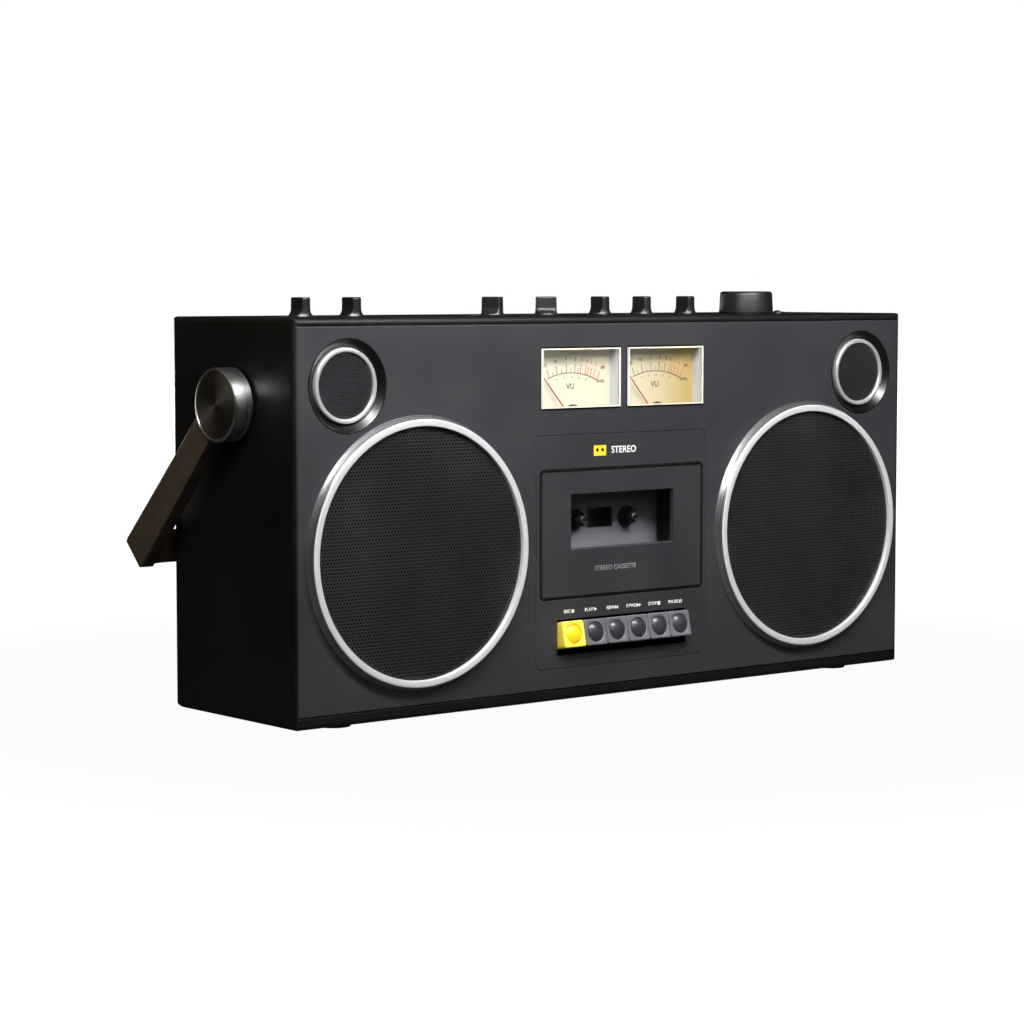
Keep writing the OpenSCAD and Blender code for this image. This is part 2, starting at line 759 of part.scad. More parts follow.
// Small knob: round drum with a flared foot, cut away on both flanks, which leaves a bar to grip
module small_knob(x, turn) {
    cut_r = 3.5;
    cut_z = 4.5;
    bar_half = 2.9;
    translate([x, knob_y, cabinet_h]) rotate([0, 0, turn]) {
        difference() {
            translate([0, 0, knob_gap]) rotate_extrude()
                polygon([[0, 0], [7.4, 0], [7.3, 0.5], [6.95, 1.2], [6.75, 2.4], [6.6, knob_h - 1.4],
                    [6.3, knob_h - 0.8], [5.6, knob_h - knob_gap], [0, knob_h - knob_gap]]);
            both_sides() {
                rod_y(bar_half + cut_r, cut_z, -10, 10, cut_r);
                block(bar_half, 10, -10, 10, cut_z, knob_h + 1);
                block(bar_half + cut_r, 10, -10, 10, cut_z - cut_r, knob_h + 1);
            }
        }
        knob_spindle();
    }
}

module power_knob() color("#19191a") placed() small_knob(knob_xs[0], 0);

module source_knob() color("#19191a") placed() small_knob(knob_xs[1], 0);

module bass_knob() color("#19191a") placed() small_knob(knob_xs[2], bass_turn);

module treble_knob() color("#19191a") placed() small_knob(knob_xs[3], treble_turn);

module balance_knob() color("#19191a") placed() small_knob(knob_xs[4], 0);

module tape_knob() color("#19191a") placed() small_knob(knob_xs[5], 0);

module mic_knob() color("#19191a") placed() small_knob(knob_xs[6], 0);

module volume_knob() color("#19191a") placed() translate([volume_x, knob_y, cabinet_h]) {
    difference() {
        translate([0, 0, knob_gap]) rotate_extrude()
            polygon([[0, 0], [18, 0], [18, 0.8], [17.2, volume_h - 2.2], [16.6, volume_h - 1],
                [15.4, volume_h - knob_gap], [0, volume_h - knob_gap]]);
        translate([-0.5, -20, volume_h - 0.5]) cube([1, 9, 2]);
    }
    knob_spindle();
}

// Circuit board under the knob row, with a control body and bush for each knob
module control_board() color("#3a5a3c") placed() {
    difference() {
        union() {
            block(-226, 182, knob_y - 10, knob_y + 12, board_z, board_z + board_t);
            for (x = concat(knob_xs, [volume_x])) translate([x, knob_y, board_z + board_t]) {
                cylinder(r = pot_r, h = pot_top - board_z - board_t);
                cylinder(r = 5, h = bush_top - board_z - board_t);
            }
            translate([lamp_x, knob_y, board_z + board_t]) {
                cylinder(r = 3, h = 10);
                cylinder(r = 2, h = cabinet_h + 0.8 - board_z - board_t);
            }
        }
        for (x = concat(knob_xs, [volume_x])) translate([x, knob_y, board_z + board_t + 0.2])
            cylinder(r = spindle_knob_r + bearing_gap, h = 30);
    }
}

// Amplifier board: capacitors, heat sink and mains transformer
module main_board() color("#2f4d34") placed() {
    block(-80, 80, 74, 75.6, 84, 205);
    for (x = [-55, -35, -15, 5]) rod_y(x, 185, 75.6, 98, 7);
    for (x = [20:4:52]) block(x, x + 1.2, 75.6, 96, 150, 196);
    block(18, 56, 75.6, 79, 150, 196);
    block(-70, -28, 75.6, 106, 90, 130);
    block(-60, -38, 75.6, 112, 84, 136);
    for (z = [92, 110, 128]) block(0, 24, 75.6, 79, z, z + 9);
}

// ---- Handle ----

module pivot_studs() color("#6d6e70") placed() {
    both_sides() {
        rod_x(pivot_y, pivot_z, half_w - wall - 2.5, half_w - wall, 12);
        rod_x(pivot_y, pivot_z, half_w - wall, stud_tip, stud_r);
    }
}

// Both pivot discs: bevelled face, shallow groove round the wall, blind bore for the stud
module handle_discs() color("#9a9b9b") placed() {
    t = disc_x1 - disc_x0;
    both_sides() translate([disc_x0, pivot_y, pivot_z]) rotate([0, 90, 0]) difference() {
        rotate_extrude()
            polygon([[0, 0], [disc_r - 0.4, 0], [disc_r, 0.4], [disc_r, 2.6], [disc_r - 0.5, 3],
                [disc_r, 3.4], [disc_r, t - 1], [disc_r - 1, t], [0, t]]);
        translate([0, 0, -1]) cylinder(r = stud_r + bearing_gap, h = t - 2.6 + 1);
    }
}

module arm_outline(inset) {
    polygon([[0, inset - arm_w / 2], [arm_len - inset, inset - arm_end_w / 2],
        [arm_len - inset, arm_end_w / 2 - inset], [0, arm_w / 2 - inset]]);
}

// One arm along +X from the pivot: it widens to its square end, and its edges are softened
module arm_bar() {
    soft = 0.6;
    t = arm_x1 - arm_x0;
    hull() {
        linear_extrude(t) arm_outline(soft);
        translate([0, 0, soft]) linear_extrude(t - 2 * soft) arm_outline(0);
    }
}

// Each arm ends in a flare that turns its square end into the round grip
module handle_arms() color("#4a453e") placed() {
    both_sides() translate([arm_x0, pivot_y, pivot_z]) rotate([-arm_drop, 0, 0]) rotate([90, 0, 90]) {
        difference() {
            arm_bar();
            translate([0, 0, -1]) cylinder(r = disc_r, h = 20);
        }
        hull() {
            translate([112, -11, 0]) cube([19.5, 22, 0.2]);
            translate([grip_reach, -grip_drop, grip_x - arm_x0])
                cylinder(r = grip_r, h = 0.2, $fn = hull_fn);
        }
    }
}

module handle_grip() color("#232324") placed() rod_x(grip_y, grip_z, -grip_x, grip_x, grip_r);

cabinet_shell();
front_panel();
rear_cover();
rear_cover_screws();
feet();
battery_tray();
battery_contacts();
battery_cover();
socket_panel();
woofer_trims();
woofer_grilles();
woofer_baskets();
woofer_magnets();
woofer_surrounds();
speaker_screws();
woofer_cone_left();
woofer_cone_right();
tweeter_bezels();
tweeter_rings();
tweeter_grilles();
tweeter_drivers();
meter_cases();
meter_covers();
meter_needle_left();
meter_needle_right();
deck_fascia();
cassette_door();
door_window();
cassette_holder();
deck_chassis();
supply_spindle();
takeup_spindle();
capstan_flywheel();
drive_belt();
deck_motor();
motor_pulley();
head_bridge();
tape_heads();
pinch_roller();
key_shaft();
record_key();
play_key();
rewind_key();
forward_key();
stop_key();
pause_key();
power_knob();
source_knob();
bass_knob();
treble_knob();
balance_knob();
tape_knob();
mic_knob();
volume_knob();
control_board();
main_board();
pivot_studs();
handle_arms();
handle_grip();
handle_discs();
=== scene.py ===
import math

import bpy
import numpy as np
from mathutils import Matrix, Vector


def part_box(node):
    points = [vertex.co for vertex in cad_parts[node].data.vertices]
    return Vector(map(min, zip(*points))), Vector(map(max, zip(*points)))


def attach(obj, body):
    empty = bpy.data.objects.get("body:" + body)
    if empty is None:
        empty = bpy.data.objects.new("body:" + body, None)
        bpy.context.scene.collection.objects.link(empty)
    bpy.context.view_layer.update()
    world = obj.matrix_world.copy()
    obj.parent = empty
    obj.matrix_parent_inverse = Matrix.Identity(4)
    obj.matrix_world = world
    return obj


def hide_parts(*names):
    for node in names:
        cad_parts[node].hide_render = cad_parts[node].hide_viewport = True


# Portable stereo cassette player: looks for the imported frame. Lengths below are in millimetres in the
# row frame (X to the right, Y to the back, Z up), and become metres when they go into a mesh.

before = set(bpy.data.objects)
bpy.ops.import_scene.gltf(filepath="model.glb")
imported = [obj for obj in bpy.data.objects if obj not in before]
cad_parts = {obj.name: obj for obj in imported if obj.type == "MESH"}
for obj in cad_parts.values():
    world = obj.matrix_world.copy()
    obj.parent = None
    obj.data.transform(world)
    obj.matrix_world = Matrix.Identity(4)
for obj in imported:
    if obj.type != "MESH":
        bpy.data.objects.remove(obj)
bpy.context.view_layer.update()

MM = 0.001
TURN = 2 * math.pi


def corners(node):
    """Lowest and highest corner of a CAD node at rest, in millimetres."""
    low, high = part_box(node)
    return np.array(low) / MM, np.array(high) / MM


def round_place(node):
    """Middle and radius of a node that is round seen from the front or from the side."""
    low, high = corners(node)
    return (low + high) / 2, (high[2] - low[2]) / 2


# ---- Places read from the frame ----

PANEL_Y = corners("front_panel")[0][1]
TOP_Z = corners("cabinet_shell")[1][2]
REAR_Y = corners("rear_cover")[1][1]
TRIM_LOW, TRIM_HIGH = corners("woofer_trims")
(_, _, WOOFER_Z), TRIM_R = round_place("woofer_trims")
WOOFER_X = TRIM_HIGH[0] - TRIM_R
RING_LOW, RING_HIGH = corners("tweeter_rings")
(_, _, TWEETER_Z), RING_R = round_place("tweeter_rings")
TWEETER_X = RING_HIGH[0] - RING_R
(_, PIVOT_Y, PIVOT_Z), DISC_R = round_place("handle_discs")
(_, GRIP_Y, GRIP_Z), GRIP_R = round_place("handle_grip")
GRIP_X = corners("handle_grip")[1][0]


# ---- Colour and nodes ----

def linear(code):
    """sRGB hex to linear: a channel is c / 12.92 up to 0.04045 and ((c + 0.055) / 1.055) ^ 2.4 above."""
    c = np.array([int(code[i:i + 2], 16) for i in (1, 3, 5)]) / 255
    c = np.where(c <= 0.04045, c / 12.92, ((c + 0.055) / 1.055) ** 2.4)
    return (*c.tolist(), 1.0)


def add(tree, kind, settings=None, inputs=None):
    """Adds one shader node. settings are its own properties; inputs gives each socket, by name or
    number, a constant or another node's output."""
    node = tree.nodes.new("ShaderNode" + kind)
    for key, value in (settings or {}).items():
        setattr(node, key, value)
    for key, value in (inputs or {}).items():
        if isinstance(value, bpy.types.NodeSocket):
            tree.links.new(value, node.inputs[key])
        else:
            node.inputs[key].default_value = value
    return node


def new_finish(name, **constants):
    """A material with its Principled shader and its Object coordinates, ready for more nodes."""
    material = bpy.data.materials.new(name)
    material.use_nodes = True
    tree = material.node_tree
    shader = tree.nodes["Principled BSDF"]
    for key, value in constants.items():
        shader.inputs[key.replace("_", " ").title().replace("Ior", "IOR")].default_value = value
    place = add(tree, "TexCoord").outputs["Object"]
    return material, tree, shader, place


def wire(shader, **sources):
    """Links each output to the shader's socket of that name, written with _ for a space."""
    for key, source in sources.items():
        source.id_data.links.new(source, shader.inputs[key.replace("_", " ")])


def shade_between(tree, factor, code_a, code_b):
    """Colour that runs from one hex value to another as factor goes from 0 to 1."""
    mix = add(tree, "Mix", {"data_type": "RGBA"}, {"Factor": factor, 6: linear(code_a), 7: linear(code_b)})
    return mix.outputs[2]


def spread(tree, value, low, high, from_low=0.3, from_high=0.7):
    """Value carried from its usual noise range to low..high."""
    node = add(tree, "MapRange", None, {"Value": value, "From Min": from_low, "From Max": from_high,
                                        "To Min": low, "To Max": high})
    return node.outputs["Result"]


def moulded(name, dark, light, rough, grain_mm, depth_mm, rounding_mm=0.0, swing=0.06, **constants):
    """Moulded plastic or sprayed paint: slow drift between two close shades over some centimetres, a fine
    pimpled grain in the bump, and a sheen that changes a little with both."""
    material, tree, shader, place = new_finish(name, **constants)
    drift = add(tree, "TexNoise", None, {"Vector": place, "Scale": 22.0, "Detail": 3.0}).outputs["Fac"]
    grain = add(tree, "TexNoise", None, {"Vector": place, "Scale": 1 / (grain_mm * MM), "Detail": 2.0,
                                         "Roughness": 0.55}).outputs["Fac"]
    both = add(tree, "Math", {"operation": "MULTIPLY_ADD"}, {0: grain, 1: 0.35, 2: drift}).outputs[0]
    bump = add(tree, "Bump", None, {"Strength": 0.35, "Distance": depth_mm * MM, "Height": grain})
    if rounding_mm:
        edge = add(tree, "Bevel", {"samples": 6}, {"Radius": rounding_mm * MM})
        wire(bump, Normal=edge.outputs["Normal"])
    wire(shader, Base_Color=shade_between(tree, spread(tree, both, 0.0, 1.0, 0.45, 0.9), dark, light),
         Roughness=spread(tree, both, rough - swing, rough + swing, 0.45, 0.9), Normal=bump.outputs["Normal"])
    return material


def spun(name, code_a, code_b, rough, line_mm, stretch=0.75, metal=1.0, relief=0.2):
    """Turned aluminium: fine circular tool lines along U of the piece's own map, which pull each light
    into a radial streak. A satin lacquer over it scatters light evenly, which lowers the metal share."""
    material, tree, shader, place = new_finish(name, metallic=metal, anisotropic=stretch)
    shader.inputs["Anisotropic Rotation"].default_value = 0.25
    chart = add(tree, "UVMap", {"uv_map": "UVMap"}).outputs["UV"]
    stretch_map = add(tree, "Mapping", None, {"Vector": chart, "Scale": (3.0, 1 / line_mm, 1.0)})
    lines = add(tree, "TexNoise", {"noise_dimensions": "2D"},
                {"Vector": stretch_map.outputs[0], "Scale": 1.0, "Detail": 4.0}).outputs["Fac"]
    tangent = add(tree, "Tangent", {"direction_type": "UV_MAP", "uv_map": "UVMap"}).outputs[0]
    bump = add(tree, "Bump", None, {"Strength": relief, "Distance": 0.02 * MM, "Height": lines}).outputs[0]
    wire(shader, Base_Color=shade_between(tree, lines, code_a, code_b), Tangent=tangent, Normal=bump,
         Roughness=spread(tree, lines, rough - 0.05, rough + 0.07))
    return material


def bare_metal(name, code_a, code_b, rough, stretch_xyz=(1, 1, 1), grain_mm=1.0, metal=1.0):
    """Stamped, plated or drawn metal: faint streaks in the stretched direction, uneven sheen."""
    material, tree, shader, place = new_finish(name, metallic=metal)
    along = add(tree, "Mapping", None, {"Vector": place, "Scale": stretch_xyz}).outputs[0]
    streak = add(tree, "TexNoise", None,
                 {"Vector": along, "Scale": 1 / (grain_mm * MM), "Detail": 3.0}).outputs["Fac"]
    cloud = add(tree, "TexNoise", None, {"Vector": place, "Scale": 60.0, "Detail": 2.0}).outputs["Fac"]
    bump = add(tree, "Bump", None, {"Strength": 0.25, "Distance": 0.03 * MM, "Height": streak}).outputs[0]
    wire(shader, Base_Color=shade_between(tree, spread(tree, cloud, 0, 1), code_a, code_b), Normal=bump,
         Roughness=spread(tree, streak, rough - 0.07, rough + 0.08))
    return material


def clear_acrylic(name, tint, haze, side_code=None, side_share=0.0):
    """Thin acrylic: what lies behind shows through its tint. The gloss on top is 0.04 + 0.96 f^5 with f
    from 0 where the sheet faces the eye to 1 at its edge. Walls that face left or right can take a pale
    diffuse colour: painted refraction, standing in for the light bent through the side walls."""
    material, tree, shader, place = new_finish(name, roughness=0.06)
    smear = add(tree, "TexNoise", None, {"Vector": place, "Scale": 90.0, "Detail": 3.0}).outputs["Fac"]
    gloss = add(tree, "BsdfGlossy", None,
                {"Color": (1, 1, 1, 1), "Roughness": spread(tree, smear, haze, haze + 0.05)}).outputs[0]
    through = add(tree, "BsdfTransparent", None, {"Color": linear(tint)}).outputs[0]
    if side_code:
        turn = add(tree, "SeparateXYZ", None, {0: add(tree, "TexCoord").outputs["Normal"]}).outputs[0]
        sideways = add(tree, "Math", {"operation": "ABSOLUTE"}, {0: turn}).outputs[0]
        # Painted refraction: walls that face sideways take the pale diffuse colour in this share.
        painted_refraction_share = add(tree, "Math", {"operation": "MULTIPLY"}, {0: sideways, 1: side_share}).outputs[0]
        body = add(tree, "BsdfDiffuse", None, {"Color": linear(side_code)}).outputs[0]
        through = add(tree, "MixShader", None, {0: painted_refraction_share, 1: through, 2: body}).outputs[0]
    facing = add(tree, "LayerWeight", None, {"Blend": 0.5}).outputs["Facing"]
    steep = add(tree, "Math", {"operation": "POWER"}, {0: facing, 1: 5.0}).outputs[0]
    mirror = add(tree, "Math", {"operation": "MULTIPLY_ADD"}, {0: steep, 1: 0.96, 2: 0.04}).outputs[0]
    top = add(tree, "MixShader", None, {0: mirror, 1: through, 2: gloss}).outputs[0]
    tree.links.new(top, tree.nodes["Material Output"].inputs["Surface"])
    tree.nodes.remove(shader)
    return material


def ink(name, code_a, code_b, rough=0.55):
    """Screen-printed ink: nearly even colour with slightly thin patches."""
    material, tree, shader, place = new_finish(name)
    patch = add(tree, "TexNoise", None, {"Vector": place, "Scale": 1400.0, "Detail": 2.0}).outputs["Fac"]
    wire(shader, Base_Color=shade_between(tree, spread(tree, patch, 0, 1), code_a, code_b),
         Roughness=spread(tree, patch, rough - 0.06, rough + 0.06))
    return material


# ---- Finishes ----

# Black ABS cabinet with fine spark-eroded texture: soft, near-black satin with a dull grey sheen.
CABINET_BLACK = moulded("abs_black_textured", "#040403", "#070706", 0.44, 0.9, 0.05, rounding_mm=0.5,
                         specular_ior_level=0.35)
# Sprayed anthracite paint on the front plate: even satin, slightly violet grey.
PANEL_PAINT = moulded("satin_paint_anthracite", "#28282b", "#2d2d30", 0.42, 0.8, 0.03, rounding_mm=0.3)
# The same paint on the deck parts, a shade cooler where it was sprayed separately.
DECK_PAINT = moulded("satin_paint_deck", "#27272a", "#2c2c2f", 0.43, 0.8, 0.03, rounding_mm=0.35)
# Black ABS of small mouldings: funnel rings, socket panel, lid.
TRIM_BLACK = moulded("abs_black_satin", "#070708", "#0c0c0d", 0.26, 0.7, 0.02, rounding_mm=0.2)
# Powder-coated steel sheet with punched holes: black with a blue-grey bloom on the lands between holes.
GRILLE_STEEL = moulded("powder_coated_steel", "#262729", "#303134", 0.38, 1.2, 0.03, metallic=0.3)
# Satin black knobs and grip: smooth moulding, tighter highlight than the cabinet.
KNOB_BLACK = moulded("abs_knob_black", "#0f0f0f", "#151514", 0.36, 0.6, 0.02)
GRIP_BLACK = moulded("grip_black_lacquer", "#0f0f10", "#171718", 0.30, 0.9, 0.03)
# Keys: dyed-through ABS with a fine matt face.
KEY_GREY = moulded("abs_key_grey", "#58585d", "#636368", 0.40, 0.6, 0.03)
KEY_YELLOW = moulded("abs_key_yellow", "#f7cf3c", "#ffdb52", 0.36, 0.6, 0.03)
# Their domes: polished part of the same mould, coloured a shade deeper, which is painted shade for the dark
# that the round, polished domes show.
SHADED_DOME_GREY = moulded("abs_key_dome_grey_shaded", "#2b2b2e", "#343437", 0.28, 0.6, 0.01)
SHADED_DOME_YELLOW = moulded("abs_key_dome_yellow_shaded", "#f5c20c", "#ffcf20", 0.28, 0.6, 0.01)
# Painted shadow for the gaps round the door and the meters: a dull black that stands for the shade in them.
# The same black prints the hubs of the cassette pictogram.
GAP_SHADE_AND_PRINT_BLACK = moulded("gap_shade_and_print_black", "#020202", "#040404", 0.7, 0.8, 0.02, specular_ior_level=0.1)
# Rubber feet: matt charcoal with a dusty bloom.
RUBBER = moulded("rubber_matt", "#1b1b1b", "#272727", 0.78, 1.5, 0.08)
# Pressed paper cones: fibrous, matt, brown-black.
CONE_PAPER = moulded("cone_paper_pressed", "#1e1d1c", "#2c2a28", 0.85, 0.9, 0.2)
# Black plastic inside the machine.
INNER_BLACK = moulded("abs_inner_black", "#141415", "#1d1d1e", 0.48, 0.9, 0.04)
# Painted steel deck plate behind the window: mid grey, satin.
DECK_STEEL = moulded("deck_plate_grey", "#8c8d91", "#9a9b9e", 0.42, 0.9, 0.03, metallic=0.1)
# Satin nickel-look ring round each speaker: spun aluminium, clear lacquered.
RING_METAL = spun("aluminium_spun_bright", "#cfd0d2", "#e2e2e3", 0.33, 0.6, 0.4, 0.4, 0.1)
# Outer wall of that ring: the same metal left bare, so it mirrors the dark room; its darker colour is painted
# shade on top of that.
SHADED_BAND_METAL = spun("aluminium_spun_bare_shaded", "#8f9092", "#a6a7a9", 0.30, 0.6, 0.5, 0.9, 0.1)
# The tweeters' narrow bands: the same again under a thin satin lacquer, between the two.
HALF_METAL = spun("aluminium_spun_satin", "#bcbdbf", "#cfd0d1", 0.32, 0.6, 0.5, 0.6, 0.1)
# Face of the disc over the handle's pivot: turned aluminium, whose circular tool lines are so fine that
# they only draw the light out into soft sectors.
# Its warm grey is partly painted warm light from the left, on grey turned aluminium.
DISC_METAL = spun("aluminium_turned_grey", "#66635e", "#706d68", 0.42, 0.22, 0.6, 1.0, 0.05)
# Wall and chamfer of that disc: diamond-cut bright aluminium.
DISC_BRIGHT = spun("aluminium_diamond_cut", "#adadab", "#b9b9b7", 0.33, 1.0, 0.4, 1.0, 0.04)
# Arms: anodised aluminium, bead blasted, coloured bronze-grey; the warm brown is partly painted warm light
# from the left.
ARM_METAL = bare_metal("aluminium_bronze_and_warm_light", "#6e604e", "#7a6c5b", 0.42, (1, 1, 1), 0.8, 0.7)
# Zinc-plated, blackened and turned metal of the works.
STEEL = bare_metal("steel_zinc_plated", "#a2a3a6", "#bdbec0", 0.3, (1, 6, 1), 1.5)
DARK_STEEL = bare_metal("steel_blackened", "#3a3a3c", "#4c4c4f", 0.4, (1, 1, 1), 1.2)
BRASS = bare_metal("brass_turned", "#b8964c", "#cfae66", 0.28, (1, 8, 1), 1.0)
# Smoked acrylic of the door's window, and the clear one over the meters, whose side walls carry painted
# refraction: a pale blue-grey diffuse colour.
SMOKED = clear_acrylic("acrylic_smoked", "#efeff1", 0.05)
CLEAR = clear_acrylic("acrylic_clear", "#f8f8f6", 0.02, "#e2e6f2", 0.85)
# Screen inks of the legends and the dials, and the lacquer of the needles.
INK_WHITE = ink("ink_white", "#d9d9d6", "#eeeeec")
INK_GREY = ink("ink_grey", "#77777a", "#8a8a8d")
INK_BLACK = ink("ink_black", "#0c0b0a", "#161412")
INK_YELLOW = ink("ink_yellow", "#e8b21c", "#f4c02a")
INK_RED = ink("ink_red", "#b3392a", "#c44a38")
NEEDLE_RED = ink("needle_lacquer_red", "#8e2a20", "#b23a2c", 0.4)


def dial_card():
    """Printed card of the meters: warm cream, with painted light on it. Each card runs from pale at the left
    to amber at the right, and the right meter is the warmer one: painted light standing in for the lamp
    behind its right edge. The card also glows a little in its own colour, a painted glow for that lamp."""
    material, tree, shader, place = new_finish("dial_card_cream_painted_light", roughness=0.6)
    across = add(tree, "SeparateXYZ", None, {0: place}).outputs[0]
    left_card = spread(tree, across, 0.0, 0.25, -0.066, -0.004)
    right_card = spread(tree, across, 0.2, 0.95, 0.012, 0.062)
    side = add(tree, "Math", {"operation": "GREATER_THAN"}, {0: across, 1: 0.0}).outputs[0]
    # Painted lamp light: pale at the left of each card, amber at the right.
    painted_lamp_light = add(tree, "Mix", {"data_type": "FLOAT"}, {"Factor": side, 2: left_card, 3: right_card}).outputs[0]
    fibre = add(tree, "TexNoise", None, {"Vector": place, "Scale": 900.0, "Detail": 4.0}).outputs["Fac"]
    tone = add(tree, "Math", {"operation": "MULTIPLY_ADD", "use_clamp": True},
               {0: spread(tree, fibre, -0.05, 0.05), 1: 1.0, 2: painted_lamp_light}).outputs[0]
    colour = shade_between(tree, tone, "#dcd6c8", "#ae9457")
    wire(shader, Base_Color=colour, Emission_Color=colour)
    # Painted glow: the card gives off light of its own colour in place of the meter lamp.
    shader.inputs["Emission Strength"].default_value = 0.17
    return material


def circuit_board():
    """Solder-masked board: deep green lacquer over a maze of slightly lighter copper tracks."""
    material, tree, shader, place = new_finish("circuit_board_green", roughness=0.35)
    cells = add(tree, "TexBrick", {"offset": 0.37},
                {"Vector": place, "Scale": 220.0, "Mortar Size": 0.02, "Color1": (0, 0, 0, 1),
                 "Color2": (0.2, 0.2, 0.2, 1), "Mortar": (1, 1, 1, 1)}).outputs["Color"]
    bump = add(tree, "Bump", None, {"Strength": 0.4, "Distance": 0.05 * MM, "Height": cells}).outputs[0]
    wire(shader, Base_Color=shade_between(tree, cells, "#20402a", "#3f6a45"), Normal=bump)
    return material


DIAL_CARD = dial_card()
BOARD = circuit_board()

FRAME_FINISHES = (
    (CABINET_BLACK, "cabinet_shell rear_cover"),
    (PANEL_PAINT, "front_panel"),
    (DECK_PAINT, "deck_fascia cassette_door"),
    (DECK_STEEL, "deck_chassis"),
    (TRIM_BLACK, "battery_cover socket_panel tweeter_bezels"),
    (INNER_BLACK, "battery_tray tweeter_drivers cassette_holder supply_spindle takeup_spindle"),
    (GRILLE_STEEL, "woofer_grilles tweeter_grilles"),
    (RING_METAL, "woofer_trims"),
    (SHADED_BAND_METAL, "tweeter_rings"),
    (CONE_PAPER, "woofer_cone_left woofer_cone_right"),
    (RUBBER, "feet woofer_surrounds drive_belt pinch_roller"),
    (DARK_STEEL, "rear_cover_screws woofer_baskets"),
    (STEEL, "battery_contacts woofer_magnets speaker_screws capstan_flywheel deck_motor head_bridge "
            "tape_heads key_shaft pivot_studs"),
    (BRASS, "motor_pulley"),
    (BOARD, "control_board main_board"),
    (DIAL_CARD, "meter_cases"),
    (CLEAR, "meter_covers"),
    (SMOKED, "door_window"),
    (NEEDLE_RED, "meter_needle_left meter_needle_right"),
    (ARM_METAL, "handle_arms"),
    (GRIP_BLACK, "handle_grip"),
    (DISC_METAL, "handle_discs"),
    (KEY_YELLOW, "record_key"),
    (KEY_GREY, "play_key rewind_key forward_key stop_key pause_key"),
    (KNOB_BLACK, "power_knob source_knob bass_knob treble_knob balance_knob tape_knob mic_knob volume_knob"),
)
for finish, nodes in FRAME_FINISHES:
    for node in nodes.split():
        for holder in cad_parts[node].material_slots:
            holder.material = finish


# ---- Surfaces ----

def directions(angle):
    """Unit arrows (cos, sin) at angles in radians."""
    return np.stack([np.cos(angle), np.sin(angle)], -1)


def grid_faces(rows, columns, wrap_rows=False):
    """Quads between neighbouring rows of a grid whose columns run round and close."""
    r = np.arange(rows if wrap_rows else rows - 1)[:, None]
    c = np.arange(columns)[None, :]
    below, right = (r + 1) % rows, (c + 1) % columns
    return np.stack([r * columns + c, r * columns + right, below * columns + right, below * columns + c],
                    -1).reshape(-1, 4)


def volume_of(points, faces):
    """Signed volume: the sum over each face's fan of triangles of a . (b x c) / 6."""
    total = 0.0
    quads = np.array([f for f in faces if len(f) == 4], int).reshape(-1, 4)
    for a, b, c in ((0, 1, 2), (0, 2, 3)):
        p, q, s = (points[quads[:, k]] for k in (a, b, c))
        total += np.einsum("ij,ij->i", p, np.cross(q, s)).sum()
    for f in faces:
        if len(f) != 4:
            p = points[f[0]]
            q, s = points[f[1:-1]], points[f[2:]]
            total += np.cross(q, s).dot(p).sum()
    return total / 6


def outward(points, faces, charts=None):
    """The same solid with every face pointing out. charts are the faces' map corners."""
    points = np.asarray(points, float)
    faces = [list(map(int, f)) for f in faces]
    if volume_of(points - points.mean(0), faces) < 0:
        faces = [f[::-1] for f in faces]
        charts = [c[::-1] for c in charts] if charts else charts
    return points, faces, charts


def loft(sections):
    """Closed outlines carried one to the next, with a polygon at each end."""
    sections = np.asarray(sections, float)
    rows, columns = sections.shape[:2]
    faces = grid_faces(rows, columns).tolist()
    faces += [list(range(columns))[::-1], list(range((rows - 1) * columns, rows * columns))]
    return outward(sections.reshape(-1, 3), faces)


def turned(profile, centre, axis, steps=160, ring=False):
    """Profile of (radius, distance along the axis) carried round the axis. A ring's profile closes on
    itself; any other ends in a small flat face. U of the map runs round, V runs along the profile."""
    profile = np.asarray(profile, float)
    angle = np.arange(steps) / steps * TURN
    radial = profile[:, :1] * np.cos(angle), profile[:, :1] * np.sin(angle)
    along = np.repeat(profile[:, 1:], steps, 1)
    placed = {"x": (along, *radial), "y": (radial[0], along, radial[1]), "z": (*radial, along)}[axis]
    points = (np.stack(placed, -1) + np.asarray(centre, float)).reshape(-1, 3)
    rows = len(profile)
    faces = grid_faces(rows, steps, ring).tolist()
    closed = np.vstack([profile, profile[:1]])
    length = np.concatenate([[0], np.cumsum(np.linalg.norm(np.diff(closed, axis=0), axis=1))])
    count = rows if ring else rows - 1
    v0, u0 = np.meshgrid(length[:count], np.arange(steps) / steps, indexing="ij")
    v1 = np.broadcast_to(length[1:count + 1, None], v0.shape)
    u1 = u0 + 1 / steps
    charts = np.stack([u0, v0, u1, v0, u1, v1, u0, v1], -1).reshape(-1, 4, 2).tolist()
    if not ring:
        for row, way in ((0, -1), (rows - 1, 1)):
            faces.append([row * steps + k for k in range(steps)][::way])
            charts.append([[k / steps, float(length[row])] for k in range(steps)][::way])
    return outward(points, faces, charts)


